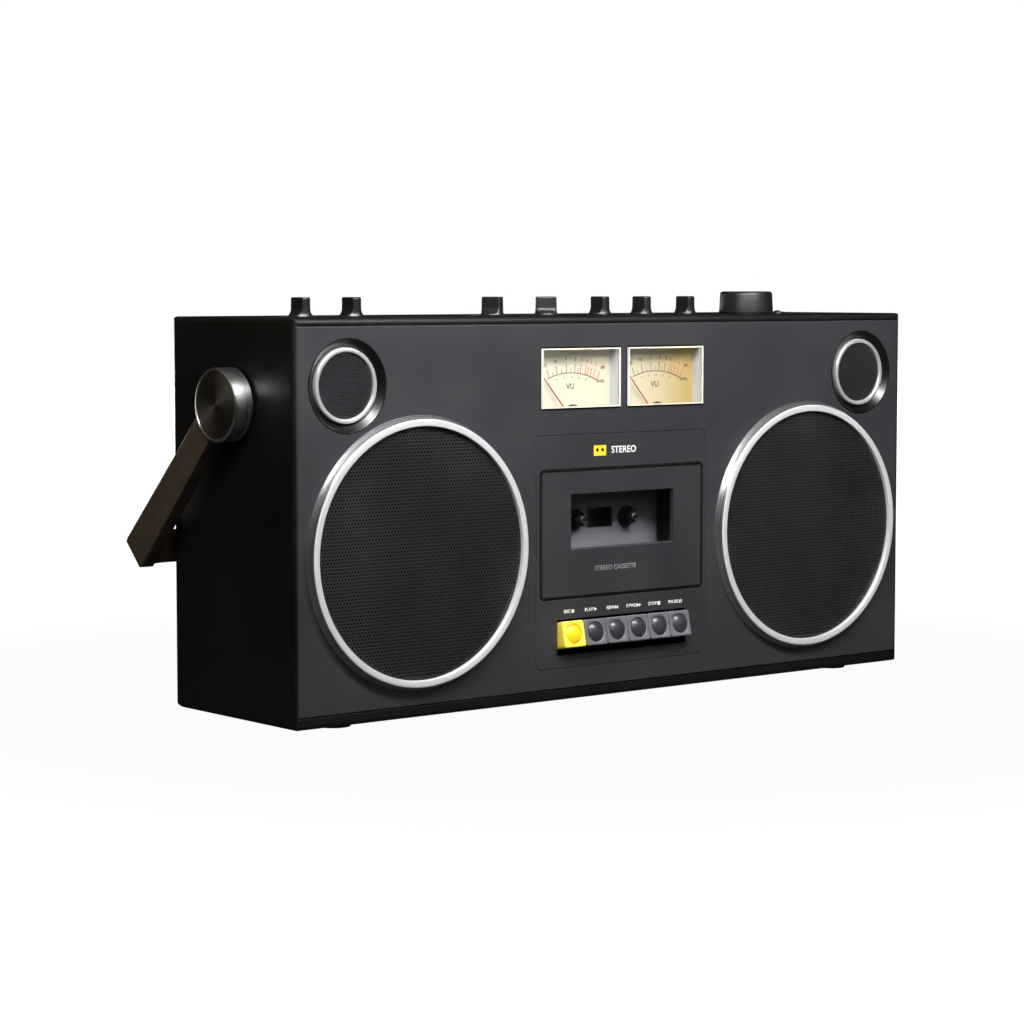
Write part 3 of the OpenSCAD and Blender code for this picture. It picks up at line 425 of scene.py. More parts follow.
def piece(name, solids, body, finishes, stands_for=(), sharp=32):
    """One object at the origin from several solids. Each solid is (points, faces, map) or, with a
    finish number after it, (points, faces, map, number). Points are in millimetres."""
    points, faces, numbers, charts = [], [], [], []
    start = 0
    for solid in solids:
        points.append(np.asarray(solid[0], float))
        faces += [[i + start for i in f] for f in solid[1]]
        charts += solid[2] or [[[0.0, 0.0]] * len(f) for f in solid[1]]
        numbers += [solid[3] if len(solid) > 3 else 0] * len(solid[1])
        start += len(solid[0])
    mesh = bpy.data.meshes.new(name)
    mesh.from_pydata((np.vstack(points) * MM).tolist(), [], faces)
    mesh.polygons.foreach_set("material_index", np.array(numbers, np.int32))
    if any(solid[2] for solid in solids):
        layer = mesh.uv_layers.new(name="UVMap")
        flat = np.array([corner for chart in charts for corner in chart], np.float32)
        layer.data.foreach_set("uv", flat.ravel())
    for finish in finishes:
        mesh.materials.append(finish)
    mesh.shade_smooth()
    mesh.set_sharp_from_angle(angle=math.radians(sharp))
    mesh.update()
    made = bpy.data.objects.new(name, mesh)
    bpy.context.scene.collection.objects.link(made)
    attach(made, body)
    if stands_for:
        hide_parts(*stands_for)
    return made


def mirrored(solid):
    """The same solid on the other side of the middle plane, still facing out."""
    points = np.asarray(solid[0], float) * (-1, 1, 1)
    faces = [f[::-1] for f in solid[1]]
    charts = [c[::-1] for c in solid[2]] if solid[2] else None
    return (points, faces, charts, *solid[3:])


def profile_at(radius, *runs):
    """Profile for turned(). Each run is a level along the axis and points measured from the radius and
    from that level."""
    return np.vstack([np.array(points) + (radius, level) for level, points in runs])


# ---- Speaker grilles and rings ----

def punched_disc(centre_x, centre_z, radius, pitch, hole, y_front, y_back):
    """Round sheet punched in a hexagonal lattice with level rows. Each hole sits in its own hexagonal
    cell, and the cell's land is six quads. Cell corners beyond the rim are pulled in onto it. Every edge
    that only one face uses, round the holes and the rim, carries a wall to the back face."""
    row_gap = pitch * math.sqrt(3) / 2
    rows = np.arange(-int(radius / row_gap) - 1, int(radius / row_gap) + 2)
    columns = np.arange(-int(radius / pitch) - 2, int(radius / pitch) + 3)
    r, c = np.meshgrid(rows, columns, indexing="ij")
    middle = np.stack([(c + 0.5 * (r % 2)) * pitch, r * row_gap], -1).reshape(-1, 2)
    spoke = directions(np.radians(30 + 60 * np.arange(6)))
    cell = middle[:, None, :] + spoke * pitch / math.sqrt(3)
    inside = (np.hypot(cell[..., 0], cell[..., 1]) < radius - 0.05).any(1)
    middle, cell = middle[inside], cell[inside]
    reach = np.hypot(cell[..., 0], cell[..., 1])
    cell = cell * np.minimum(1, radius / reach)[..., None]
    open_cell = np.hypot(middle[:, 0], middle[:, 1]) < radius - hole / 2 - 0.5
    inner = middle[:, None, :] + spoke * hole / 2
    flat = np.concatenate([cell.reshape(-1, 2), inner[open_cell].reshape(-1, 2)])
    keys, which = np.unique(np.round(flat, 3), axis=0, return_inverse=True)
    which = which.reshape(-1)
    cell_id = which[:cell.shape[0] * 6].reshape(-1, 6)
    inner_id = which[cell.shape[0] * 6:].reshape(-1, 6)
    outer_id = cell_id[open_cell]
    lands = np.stack([outer_id, np.roll(outer_id, -1, 1), np.roll(inner_id, -1, 1), inner_id], -1)
    lands = lands.reshape(-1, 4)
    blanks = cell_id[~open_cell]
    front = lands.tolist() + blanks.tolist()
    edges = np.concatenate([np.stack([lands, np.roll(lands, -1, 1)], -1).reshape(-1, 2),
                            np.stack([blanks, np.roll(blanks, -1, 1)], -1).reshape(-1, 2)])
    low_high = np.sort(edges, 1)
    code = low_high[:, 0] * len(keys) + low_high[:, 1]
    _, first, uses = np.unique(code, return_index=True, return_counts=True)
    rim = edges[first[uses == 1]]
    total = len(keys)
    back = [[i + total for i in f[::-1]] for f in front]
    walls = np.stack([rim[:, 1], rim[:, 0], rim[:, 0] + total, rim[:, 1] + total], -1).tolist()
    sheet = [np.column_stack([keys[:, 0] + centre_x, np.full(total, y), keys[:, 1] + centre_z])
             for y in (y_front, y_back)]
    return outward(np.vstack(sheet), front + back + walls)


# Hole spacing and hole width across corners, for the woofers' sheets and the tweeters' finer ones.
WOOFER_PITCH, WOOFER_HOLE = 2.286, 1.68
TWEETER_PITCH, TWEETER_HOLE = 1.5, 1.08
_, GRILLE_R = round_place("woofer_grilles")
_, TWEETER_GRILLE_R = round_place("tweeter_grilles")
GRILLE_Y = corners("woofer_grilles")[0][1]
TWEETER_GRILLE_Y = corners("tweeter_grilles")[0][1]
for side, x in (("left", -WOOFER_X), ("right", WOOFER_X)):
    sheet = punched_disc(x, WOOFER_Z, GRILLE_R, WOOFER_PITCH, WOOFER_HOLE, GRILLE_Y + 0.05, GRILLE_Y + 0.6)
    piece("woofer_grille_" + side, [sheet], "cabinet", [GRILLE_STEEL], ["woofer_grilles"])
piece("tweeter_meshes",
      [punched_disc(x, TWEETER_Z, TWEETER_GRILLE_R, TWEETER_PITCH, TWEETER_HOLE,
                    TWEETER_GRILLE_Y + 0.05, TWEETER_GRILLE_Y + 0.5) for x in (-TWEETER_X, TWEETER_X)],
      "cabinet", [GRILLE_STEEL], ["tweeter_grilles"])

# Black open-weave cloth stretched behind the sheets: it keeps dust out and the holes dark.
CLOTH = moulded("speaker_cloth_black", "#030303", "#060606", 0.9, 0.6, 0.05, specular_ior_level=0.1)
cloths = []
for x, z, radius, y in ((WOOFER_X, WOOFER_Z, GRILLE_R - 0.3, GRILLE_Y + 0.62),
                        (TWEETER_X, TWEETER_Z, TWEETER_GRILLE_R - 0.3, TWEETER_GRILLE_Y + 0.52)):
    sheet_profile = [[0.3, y], [radius, y], [radius, y + 0.15], [0.3, y + 0.15]]
    cloths += [turned(sheet_profile, (side * x, 0, z), "y", 96) for side in (-1, 1)]
piece("speaker_cloths", cloths, "cabinet", [CLOTH], (), 40)

# Woofer ring: foot on the plate, leaning outer wall, rounded shoulder, flat bright land, short inner wall.
wall_part = profile_at(
    TRIM_R, (PANEL_Y, [[0, 0], [-0.05, -0.45], [-0.35, -0.7]]),
    (TRIM_LOW[1], [[-1.9, 0.95], [-2.1, 0.6], [-2.35, 0.35], [-5, 0.35]]), (PANEL_Y, [[-5, 0]]))
land_part = profile_at(
    TRIM_R, (TRIM_LOW[1], [[-2.2, 0.6], [-2.3, 0.3], [-2.6, 0.08], [-3, 0], [-6, 0], [-6.3, 0.12],
                           [-6.42, 0.4]]),
    (PANEL_Y, [[-6.45, 3], [-5.3, 3]]), (TRIM_LOW[1], [[-5.3, 0.6]]))
rings = []
for x in (-WOOFER_X, WOOFER_X):
    rings.append(turned(land_part, (x, 0, WOOFER_Z), "y", 240, True))
    rings.append((*turned(wall_part, (x, 0, WOOFER_Z), "y", 240, True), 1))
piece("woofer_rings", rings, "cabinet", [RING_METAL, SHADED_BAND_METAL], ["woofer_trims"], 50)

# Tweeter ring: a narrow band with both edges rolled.
band = profile_at(
    RING_R, (PANEL_Y, [[0, 6]]),
    (RING_LOW[1], [[0, 0.9], [-0.15, 0.35], [-0.55, 0.06], [-1, 0], [-1.8, 0], [-2.3, 0.08], [-2.65, 0.4],
                   [-2.8, 1]]),
    (PANEL_Y, [[-2.8, 6]]))
piece("tweeter_bands", [turned(band, (x, 0, TWEETER_Z), "y", 128, True) for x in (-TWEETER_X, TWEETER_X)],
      "cabinet", [HALF_METAL], ["tweeter_rings"], 50)


# ---- Handle ----

# Pivot disc: a wall with a shallow groove and a rolled rim, and a face sunk a little below the rim.
DISC_X0, DISC_X1 = 248.5, corners("handle_discs")[1][0]
rolled_wall = profile_at(
    DISC_R, (DISC_X0, [[-0.5, 0], [0, 0.5], [0, 2.1], [-0.3, 2.3], [-0.3, 2.6], [0, 2.8]]),
    (DISC_X1, [[0, -1.5], [-0.12, -0.95], [-0.8, -0.2], [-1.15, -0.06], [-1.5, -0.12], [-1.75, -0.45],
               [-1.8, -0.9]]))
wall_profile = [[0.5, DISC_X0], *rolled_wall, [0.5, DISC_X1 - 0.9]]
face_rim = profile_at(DISC_R, (DISC_X1, [[-1.82, -1.2], [-1.82, -0.62], [-2.3, -0.5], [-8, -0.5],
                                         [-14, -0.5]]))
face_profile = [[0.4, DISC_X1 - 1.2], *face_rim, [0.4, DISC_X1 - 0.5]]
wall = turned(wall_profile, (0, PIVOT_Y, PIVOT_Z), "x", 192)
face = (*turned(face_profile, (0, PIVOT_Y, PIVOT_Z), "x", 192), 1)
piece("pivot_discs", [wall, mirrored(wall), face, mirrored(face)], "handle", [DISC_BRIGHT, DISC_METAL],
      ["handle_discs"], 28)

# Arm: inner and outer side, slope when folded, length and half widths; where the grip's axis lies.
ARM_X0, ARM_X1 = 250.8, corners("handle_arms")[1][0]
ARM_DROP = math.radians(45.1)
ARM_END = 132.5
HALF_AT_PIVOT, HALF_AT_END = 9.0, 11.55
GRIP_REACH, GRIP_DROP = 121.0, 3.9
ALONG = np.array([0, math.cos(ARM_DROP), -math.sin(ARM_DROP)])
ACROSS = np.array([0, math.sin(ARM_DROP), math.cos(ARM_DROP)])


def soft_box(half_a, half_b, corner, count):
    """Closed outline of a rectangle with round corners: count points on each quarter circle."""
    quarter = np.radians(np.linspace(0, 90, count))
    arcs = [directions(quarter + k * math.pi / 2) for k in range(4)]
    signs = np.array([[1, 1], [-1, 1], [-1, -1], [1, -1]])
    inner = np.array([half_a - corner, half_b - corner])
    return np.vstack([arc * corner + inner * sign for arc, sign in zip(arcs, signs)])


def arm_half(s):
    """Half width of an arm, growing evenly with the distance from the pivot."""
    return HALF_AT_PIVOT + (HALF_AT_END - HALF_AT_PIVOT) * s / ARM_END


def arm_solid():
    """Flat bar from inside the disc's rim to the square end. Its width closes in by a quarter circle of
    radius 3 at the end and its thickness by one of radius 0.9, so every outer edge is softened."""
    bend = np.radians(np.linspace(0, 90, 9))[1:]
    thick, corner = (ARM_X1 - ARM_X0) / 2, 3.0
    stations = [(s, 0.0, 0.0) for s in (15.0, *np.linspace(24, ARM_END - corner, 8))]
    stations += [(ARM_END - corner + corner * math.sin(a), corner * (1 - math.cos(a)),
                  0.9 * max(0.0, math.sin(a) * 3 - 2)) for a in bend]
    rings = []
    for s, side, flat in stations:
        outline = soft_box(arm_half(s) - side, thick - flat, 0.8, 6)
        rings.append(np.array([(ARM_X0 + ARM_X1) / 2, PIVOT_Y, PIVOT_Z]) + s * ALONG
                     + outline[:, :1] * ACROSS + outline[:, 1:] * np.array([1.0, 0, 0]))
    return loft(rings)


def flare_solid():
    """Square end turning into the round grip: the outline blends from a soft rectangle as wide as the arm
    to the grip's circle by an eased step, and its middle moves down to the grip's, which leaves a hollow
    fillet under the arm."""
    count, squareness, start = 96, 9.0, 117.7
    circle = directions(np.arange(count) / count * TURN)
    square = circle / ((np.abs(circle) ** squareness).sum(1) ** (1 / squareness))[:, None]
    pivot = np.array([0, PIVOT_Y, PIVOT_Z])
    rings = []
    for t in np.linspace(0, 1, 18):
        x = ARM_X0 + 0.4 - t * (ARM_X0 + 0.4 - GRIP_X - 0.4)
        ease = 1 - (1 - t) ** 1.5
        size = np.array([10.6, 13.6]) * (1 - ease) + (GRIP_R - 0.05) * ease
        outline = (square * (1 - ease) + circle * ease) * size
        middle = pivot + ALONG * (start + (GRIP_REACH - start) * ease) - ACROSS * GRIP_DROP * ease
        rings.append(middle * (0, 1, 1) + np.array([x, 0, 0]) + outline[:, :1] * ACROSS
                     + outline[:, 1:] * ALONG)
    return loft(rings)


arm, flare = arm_solid(), flare_solid()
piece("carry_arms", [arm, mirrored(arm), flare, mirrored(flare)], "handle", [ARM_METAL], ["handle_arms"],
      35)

half_grip = profile_at(GRIP_R, (GRIP_X, [[-0.9, 0.5], [-0.9, -0.6], [-0.25, -0.9], [0, -1.5], [0, -30]]),
                       (0, [[0, 120], [0, 40]])).tolist()
grip_profile = half_grip + [[r, -x] for r, x in half_grip[::-1]]
piece("carry_grip", [turned(grip_profile, (0, GRIP_Y, GRIP_Z), "x", 96)], "handle", [GRIP_BLACK],
      ["handle_grip"], 30)


# ---- Knobs ----

def small_knob(x, y, turn, height):
    """Round drum with a flared foot. Both flanks are cut flat at 2.9 down to 4.5 above the top panel and
    curve out below that by a circle of radius 3.5, which leaves a bar to grip. Round the axis the radius
    is the soft minimum of the drum's and of the bar's flat sides."""
    soft = 1.0
    low = np.array([0.0, 0.3, 0.7, 1.2, 1.7, 2.3, 2.9, 3.5, 4.1, 4.7, 5.6, 7.5, height - 2.2, height - soft])
    bend = np.radians(np.linspace(0, 90, 7))[1:]
    level = np.concatenate([low, height - soft + soft * np.sin(bend)])
    inset = np.concatenate([np.zeros(len(low)), soft * (1 - np.cos(bend))])
    drum = np.interp(level, [0, 0.3, 0.7, 1.2, 2.3, height], [7.35, 7.25, 7.05, 6.87, 6.72, 6.55])
    flank = 6.4 - np.sqrt(3.5 ** 2 - np.clip(4.5 - level, 0, 3.499) ** 2) + np.where(level < 1.0, 6.0, 0.0)
    angle = np.arange(112) / 112 * TURN
    side = flank[:, None] / np.maximum(np.abs(np.cos(angle)), 0.05)
    firm = 4.0
    radius = -np.log(np.exp(-firm * drum[:, None]) + np.exp(-firm * side)) / firm - inset[:, None]
    crown = np.array([0.75, 0.45, 0.15])
    rings = np.concatenate([radius, radius[-1] * crown[:, None]])
    level = np.concatenate([level, np.full(3, height)])
    a = angle + math.radians(turn)
    z = TOP_Z + 0.4 + level * (height - 0.4) / height
    shape = np.stack([x + rings * np.cos(a), y + rings * np.sin(a), np.repeat(z[:, None], 112, 1)], -1)
    return loft(shape)


def mark_on_top(x, y, z, turn, near, far, width):
    """Thin raised stripe on a knob's top, from near to far out from the axis, towards the front."""
    a = math.radians(turn - 90)
    out = np.array([math.cos(a), math.sin(a), 0])
    across = np.array([-out[1], out[0], 0]) * width / 2
    base = np.array([x, y, z])
    low = np.array([base + out * near - across, base + out * far - across, base + out * far + across,
                    base + out * near + across])
    return loft([low, low + (0, 0, 0.12)])


KNOB_Y = (corners("power_knob")[0][1] + corners("power_knob")[1][1]) / 2
# Each small knob and how far it is turned at rest, in degrees.
KNOBS = {"power": 0, "source": 0, "bass": 27, "treble": 51, "balance": 0, "tape": 0, "mic": 0}
KNOB_X = {}
for title, turn in KNOBS.items():
    low, high = corners(title + "_knob")
    x = (low[0] + high[0]) / 2
    KNOB_X[title] = x
    height = high[2] - TOP_Z
    body = small_knob(x, KNOB_Y, turn, height)
    stripe = (*mark_on_top(x, KNOB_Y, high[2] - 0.06, turn, 2.0, 5.0, 0.7), 1)
    piece("knob_" + title, [body, stripe], "knob_" + title, [KNOB_BLACK, INK_WHITE],
          [title + "_knob"], 40)

# Volume knob: a wide drum, slightly tapered, with a rolled edge and a sunk top.
low, high = corners("volume_knob")
VOLUME_X, VOLUME_TOP = (low[0] + high[0]) / 2, high[2]
rolled_drum = profile_at(
    (high[0] - low[0]) / 2, (TOP_Z, [[-0.4, 0.4], [0, 0.7], [0, 1.3], [-0.25, 1.6]]),
    (VOLUME_TOP, [[-0.8, -1.9], [-0.95, -1.3], [-1.3, -0.7], [-1.8, -0.25], [-2.5, -0.02], [-3.4, 0],
                  [-3.9, -0.35]]))
volume_profile = [[0.6, TOP_Z + 0.4], *rolled_drum, [0.6, VOLUME_TOP - 0.35]]
dial_mark = (*mark_on_top(VOLUME_X, KNOB_Y, VOLUME_TOP - 0.36, 0, 5.0, 13.0, 1.0), 1)
piece("knob_volume", [turned(volume_profile, (VOLUME_X, KNOB_Y, 0), "z", 144), dial_mark], "knob_volume",
      [KNOB_BLACK, INK_WHITE], ["volume_knob"], 30)

# Power lamp: a low black collar round a dark red lens, which is unlit.
LAMP_X = 175.0
LENS = moulded("lens_red_diffuse", "#3d0f0c", "#4c1411", 0.2, 0.8, 0.01)
collar = profile_at(0, (TOP_Z, [[2.3, -0.2], [2.3, 0.9], [2.6, 1.1], [4.6, 1], [5.4, 0.7], [5.75, 0.2],
                                [5.75, -0.2]]))
lens = profile_at(0, (TOP_Z, [[2.25, -0.2], [2.25, 1], [2.1, 1.35], [1.6, 1.7], [0.9, 1.9], [0.2, 1.95]]))
piece("power_lamp", [turned(collar, (LAMP_X, KNOB_Y, 0), "z", 64, True),
                     (*turned(lens, (LAMP_X, KNOB_Y, 0), "z", 48), 1)],
      "cabinet", [TRIM_BLACK, LENS], (), 40)


# ---- Keys ----

# Keys: how far their faces lean back, their height, and the hub on the shaft that they turn on.
KEY_LEAN = math.radians(12.4)
KEY_UP = np.array([0, math.sin(KEY_LEAN), math.cos(KEY_LEAN)])
KEY_OUT = np.array([0, -math.cos(KEY_LEAN), math.sin(KEY_LEAN)])
KEY_TALL = 16.2
PLAY_LOW, PLAY_HIGH = corners("play_key")
KEY_HALF = (PLAY_HIGH[0] - PLAY_LOW[0]) / 2
HUB_Y = PANEL_Y + 30.0
HUB_Z = 43.0


def key_solids(x):
    """Body and dome of a key. Both are rings round the middle of the face. The body's run up out of a
    round pocket, open from a circle to the key's soft rectangle, roll over the edge and go back to the
    hub on the shaft. The dome's follow a sphere and drop into the pocket."""
    count = 96
    angle = np.arange(count) / count * TURN + TURN / count / 2
    a, b = np.cos(angle), np.sin(angle)
    half_b, squareness = KEY_TALL / 2, 16
    reach = (np.abs(a / KEY_HALF) ** squareness + np.abs(b / half_b) ** squareness) ** (-1 / squareness)
    face = np.array([x, PANEL_Y - 3.5, 52.0]) - KEY_UP * half_b

    def ring(radius, height):
        flat = (np.asarray(radius) * np.ones(count))[:, None]
        return face + flat * (a[:, None] * np.array([1.0, 0, 0]) + b[:, None] * KEY_UP) + height * KEY_OUT

    body = [ring(radius, height) for radius, height in
            ((0.5, -1.0), (3.0, -1.0), (6.2, -1.0), (6.28, -0.12), (6.45, 0.0))]
    body += [ring(reach - inset, height) for inset, height in
             ((0.9, 0.0), (0.55, 0.0), (0.28, -0.08), (0.1, -0.28), (0.0, -0.6), (0.0, -4.0), (0.0, -8.0))]
    for y, share in ((HUB_Y - 1.0, 0.45), (HUB_Y + 1.5, 0.40), (HUB_Y + 3.0, 0.24), (HUB_Y + 3.4, 0.1)):
        body.append(np.stack([x + reach * a, np.full(count, y), HUB_Z + reach * b * share], -1))
    sphere, sunk = 10.9, 9.6
    dome = [ring(radius, math.sqrt(sphere ** 2 - radius ** 2) - sunk) for radius in
            (0.3, 1.2, 2.2, 3.2, 4.0, 4.7, 5.2, 5.55)]
    dome += [ring(5.75, -0.35), ring(5.8, -1.3), ring(0.4, -1.3)]
    return loft(body), (*loft(dome), 1)


KEY_X = {}
for title in ("record", "play", "rewind", "forward", "stop", "pause"):
    low, high = corners(title + "_key")
    KEY_X[title] = (low[0] + high[0]) / 2
    finishes = [KEY_YELLOW, SHADED_DOME_YELLOW] if title == "record" else [KEY_GREY, SHADED_DOME_GREY]
    piece("key_" + title, key_solids(KEY_X[title]), "key_" + title, finishes, [title + "_key"], 40)


# Bright steel tip of each spindle: a low dome on a short neck.
for side in ("supply", "takeup"):
    low, high = corners(side + "_spindle")
    tip = profile_at(0, (low[1], [[1.9, 2], [1.9, 0.6], [1.9, 0.3], [1.5, 0.08], [0.8, 0.01], [0.1, 0]]))
    middle = ((low[0] + high[0]) / 2, 0, (low[2] + high[2]) / 2)
    piece(side + "_tip", [turned(tip, middle, "y", 40)], side + "_reel", [STEEL], (), 40)


# ---- Printing ----

def flat_text(words, height, middle, facing="front", weight=0.0):
    """Lettering as flat faces: capital height in millimetres, centred on middle. facing says which way
    the reader looks at it. weight thickens the strokes."""
    curve = bpy.data.curves.new("words", "FONT")
    curve.body = words
    curve.size = height / 0.73
    curve.align_x = "CENTER"
    curve.align_y = "CENTER"
    curve.resolution_u = 3
    curve.offset = weight
    holder = bpy.data.objects.new("words", curve)
    bpy.context.scene.collection.objects.link(holder)
    mesh = bpy.data.meshes.new_from_object(holder.evaluated_get(bpy.context.evaluated_depsgraph_get()))
    flat = np.zeros(len(mesh.vertices) * 3)
    mesh.vertices.foreach_get("co", flat)
    flat = flat.reshape(-1, 3)
    faces = [list(p.vertices) for p in mesh.polygons]
    bpy.data.objects.remove(holder)
    bpy.data.curves.remove(curve)
    bpy.data.meshes.remove(mesh)
    return laid(flat[:, :2], faces, middle, facing)


def laid(flat, faces, middle, facing="front"):
    """Flat outlines (across, up) put on the front, the top or the back of the cabinet."""
    u, w = np.asarray(flat, float).T
    nil = np.zeros(len(u))
    points = {"front": np.stack([u, nil, w], -1), "top": np.stack([u, w, nil], -1),
              "back": np.stack([-u, nil, w], -1)}[facing]
    return points + np.asarray(middle, float), [list(map(int, f)) for f in faces], None


def bars(ends_a, ends_b, width):
    """Straight strokes of one width between pairs of flat points."""
    p, q = np.asarray(ends_a, float), np.asarray(ends_b, float)
    d = (q - p) / np.linalg.norm(q - p, axis=1)[:, None]
    n = np.stack([-d[:, 1], d[:, 0]], -1) * width / 2
    flat = np.stack([p - n, q - n, q + n, p + n], 1).reshape(-1, 2)
    return flat, np.arange(len(flat)).reshape(-1, 4)


def clock(degrees):
    """Unit arrows (across, up) at degrees from straight up, clockwise."""
    return directions(np.radians(90 - np.asarray(degrees, float)))


def arc_band(radius, width, start, stop, count):
    """Curved stroke between two directions of a clock, in degrees."""
    ray = clock(np.linspace(start, stop, count))
    flat = np.concatenate([ray * (radius - width / 2), ray * (radius + width / 2)])
    k = np.arange(count - 1)
    return flat, np.stack([k, k + 1, k + 1 + count, k + count], -1)


FRONT, UP, BACK = np.array([0, -1.0, 0]), np.array([0, 0, 1.0]), np.array([0, 1.0, 0])


def printing(name, layers, body, finishes, direction):
    """One thin printed piece from layers of (flat solid, finish number). A flat face that looks away
    from the reader is turned round."""
    solids = []
    for (points, faces, _), number in layers:
        crosses = [np.cross(points[f[1]] - points[f[0]], points[f[2]] - points[f[0]]) for f in faces]
        faces = [f if cross.dot(direction) > 0 else f[::-1] for f, cross in zip(faces, crosses)]
        solids.append((points, faces, None, number))
    return piece(name, solids, body, finishes)


# Ink stands this far off what it is printed on.
INK_LIFT = 0.04
PRINT_Y = PANEL_Y - INK_LIFT

# Dials: arc, strokes outwards from it, decibel numbers outside and a percent scale inside.
DIAL_Y = corners("meter_cases")[0][1] + 4.5 - INK_LIFT
ARC_FOOT_Z = 153.0
DIALS = []
for x in (-36.3, 33.0):
    foot = (x, DIAL_Y, ARC_FOOT_Z)
    DIALS.append((laid(*arc_band(50.0, 0.45, -21.5, 26.5, 49), foot), 0))
    DIALS.append((laid(*arc_band(50.2, 0.3, 13.4, 26.5, 20), foot), 1))
    for marks, number, far, width in (((-19.7, -11.8, -3.4, 4.1, 9.2), 0, 55.6, 0.42),
                                      ((13.4, 15.6, 18.3, 21.5, 25.3), 1, 55.8, 0.48),
                                      ((-16.0, -7.8, 0.4, 6.8), 0, 53.0, 0.3)):
        DIALS.append((laid(*bars(clock(marks) * 50.2, clock(marks) * far, width), foot), number))
    # Each number: its figures, direction and finish.
    decibels = (("20", -20.2, 0), ("10", -12.1, 0), ("7", -3.5, 0), ("5", 4.2, 0), ("3", 9.4, 0),
                ("0", 13.6, 1), ("1", 17.0, 1), ("2", 20.8, 1), ("3", 25.0, 1))
    percents = (("0", -20.5, 2), ("20", -13.5, 2), ("40", -6.0, 2), ("60", 1.5, 2), ("80", 8.5, 2),
                ("100", 15.5, 2))
    for numbers, reach, height, weight in ((decibels, 58.4, 2.2, 0.03), (percents, 47.3, 1.2, 0.02)):
        for words, degrees, number in numbers:
            across, up = clock(degrees) * reach
            at = (x + across, DIAL_Y, ARC_FOOT_Z + up)
            DIALS.append((flat_text(words, height, at, weight=weight), number))
    DIALS.append((flat_text("VU", 3.7, (x + 0.1, DIAL_Y, 194.6), weight=0.05), 0))
    DIALS.append((flat_text("dB", 1.9, (x + 26.5, DIAL_Y, 206.0), weight=0.05), 0))
    DIALS.append((flat_text("LEVEL", 1.8, (x + 24.6, DIAL_Y, 197.4), weight=0.06), 0))
printing("dial_print", DIALS, "cabinet", [INK_BLACK, INK_RED, INK_GREY], FRONT)

# Needle pivot covers: low domes, of which the window shows only the crown.
COVER_GREY = moulded("abs_cover_grey", "#4a4a4c", "#58585a", 0.4, 0.6, 0.02)
CAP_X, CAP_Z = 34.65, 176.7
cap = profile_at(0, (DIAL_Y, [[7.1, -0.1], [7.1, -1.1], [6.7, -1.5], [4, -1.7], [0.3, -1.8]]))
piece("pivot_covers", [turned(cap, (x, 0, CAP_Z), "y", 64) for x in (-CAP_X, CAP_X)], "cabinet",
      [COVER_GREY], (), 40)


def frame_solid(x0, x1, z0, z1, width, y0, y1):
    """Rectangular bead with mitred corners: its small rounded section carried round the opening."""
    section = soft_box(width / 2, (y1 - y0) / 2, 0.18, 3)
    path = np.array([[x0, z0], [x1, z0], [x1, z1], [x0, z1]])
    inwards = np.array([[1, 1], [-1, 1], [-1, -1], [1, -1]])
    rings = np.stack([np.column_stack([
        p[0] + d[0] * (section[:, 0] + width / 2), section[:, 1] + (y0 + y1) / 2,
        p[1] + d[1] * (section[:, 0] + width / 2)]) for p, d in zip(path, inwards)])
    rows, columns = rings.shape[:2]
    return outward(rings.reshape(-1, 3), grid_faces(rows, columns, True))


# Bright edge of each clear cover: a painted highlight, a pale bead standing in for the light that the moulded
# acrylic gathers along its rim.
RIM_LIGHT = moulded("acrylic_rim_light", "#d8d3bf", "#efe9d2", 0.25, 0.8, 0.01)
cover_low, cover_high = corners("meter_covers")
rim = frame_solid(3.35, cover_high[0] - 0.05, 182.05, cover_high[2] - 0.05, 0.9,
                  cover_low[1] + 0.05, cover_low[1] + 0.75)
piece("meter_rim_highlights", [rim, mirrored(rim)], "cabinet", [RIM_LIGHT], (), 30)


def tape_sign(key, size):
    """Outline and faces of a key's usual sign, in a square of the given size about its middle."""
    s = size / 2
    if key == "record":
        return directions(np.arange(24) / 24 * TURN) * s, [list(range(24))]
    flat, faces = {
        "play": ([[-1, -1], [1, 0], [-1, 1]], [[0, 1, 2]]),
        "wind": ([[-1.6, -1], [0, 0], [-1.6, 1], [0, -1], [1.6, 0], [0, 1]], [[0, 1, 2], [3, 4, 5]]),
        "stop": ([[-1, -1], [1, -1], [1, 1], [-1, 1]], [[0, 1, 2, 3]]),
        "pause": ([[-1, -1], [-0.3, -1], [-0.3, 1], [-1, 1], [0.3, -1], [1, -1], [1, 1], [0.3, 1]],
                  [[0, 1, 2, 3], [4, 5, 6, 7]]),
    }["wind" if key in ("rewind", "forward") else key]
    return np.array(flat) * (-s if key == "rewind" else s, s), faces


# Legends over the keys: a word and its usual sign.
LEGEND_Z = 57.4
LEGENDS = []
for title, words in (("record", "REC"), ("play", "PLAY"), ("rewind", "REW"), ("forward", "F.FWD"),
                     ("stop", "STOP"), ("pause", "PAUSE")):
    x = KEY_X[title] - 1.4
    LEGENDS.append((flat_text(words, 2.15, (x, PRINT_Y, LEGEND_Z), weight=0.06), 0))
    wide = 0.76 * len(words) + 2.2
    LEGENDS.append((laid(*tape_sign(title, 2.3), (x + wide, PRINT_Y, LEGEND_Z)), 0))

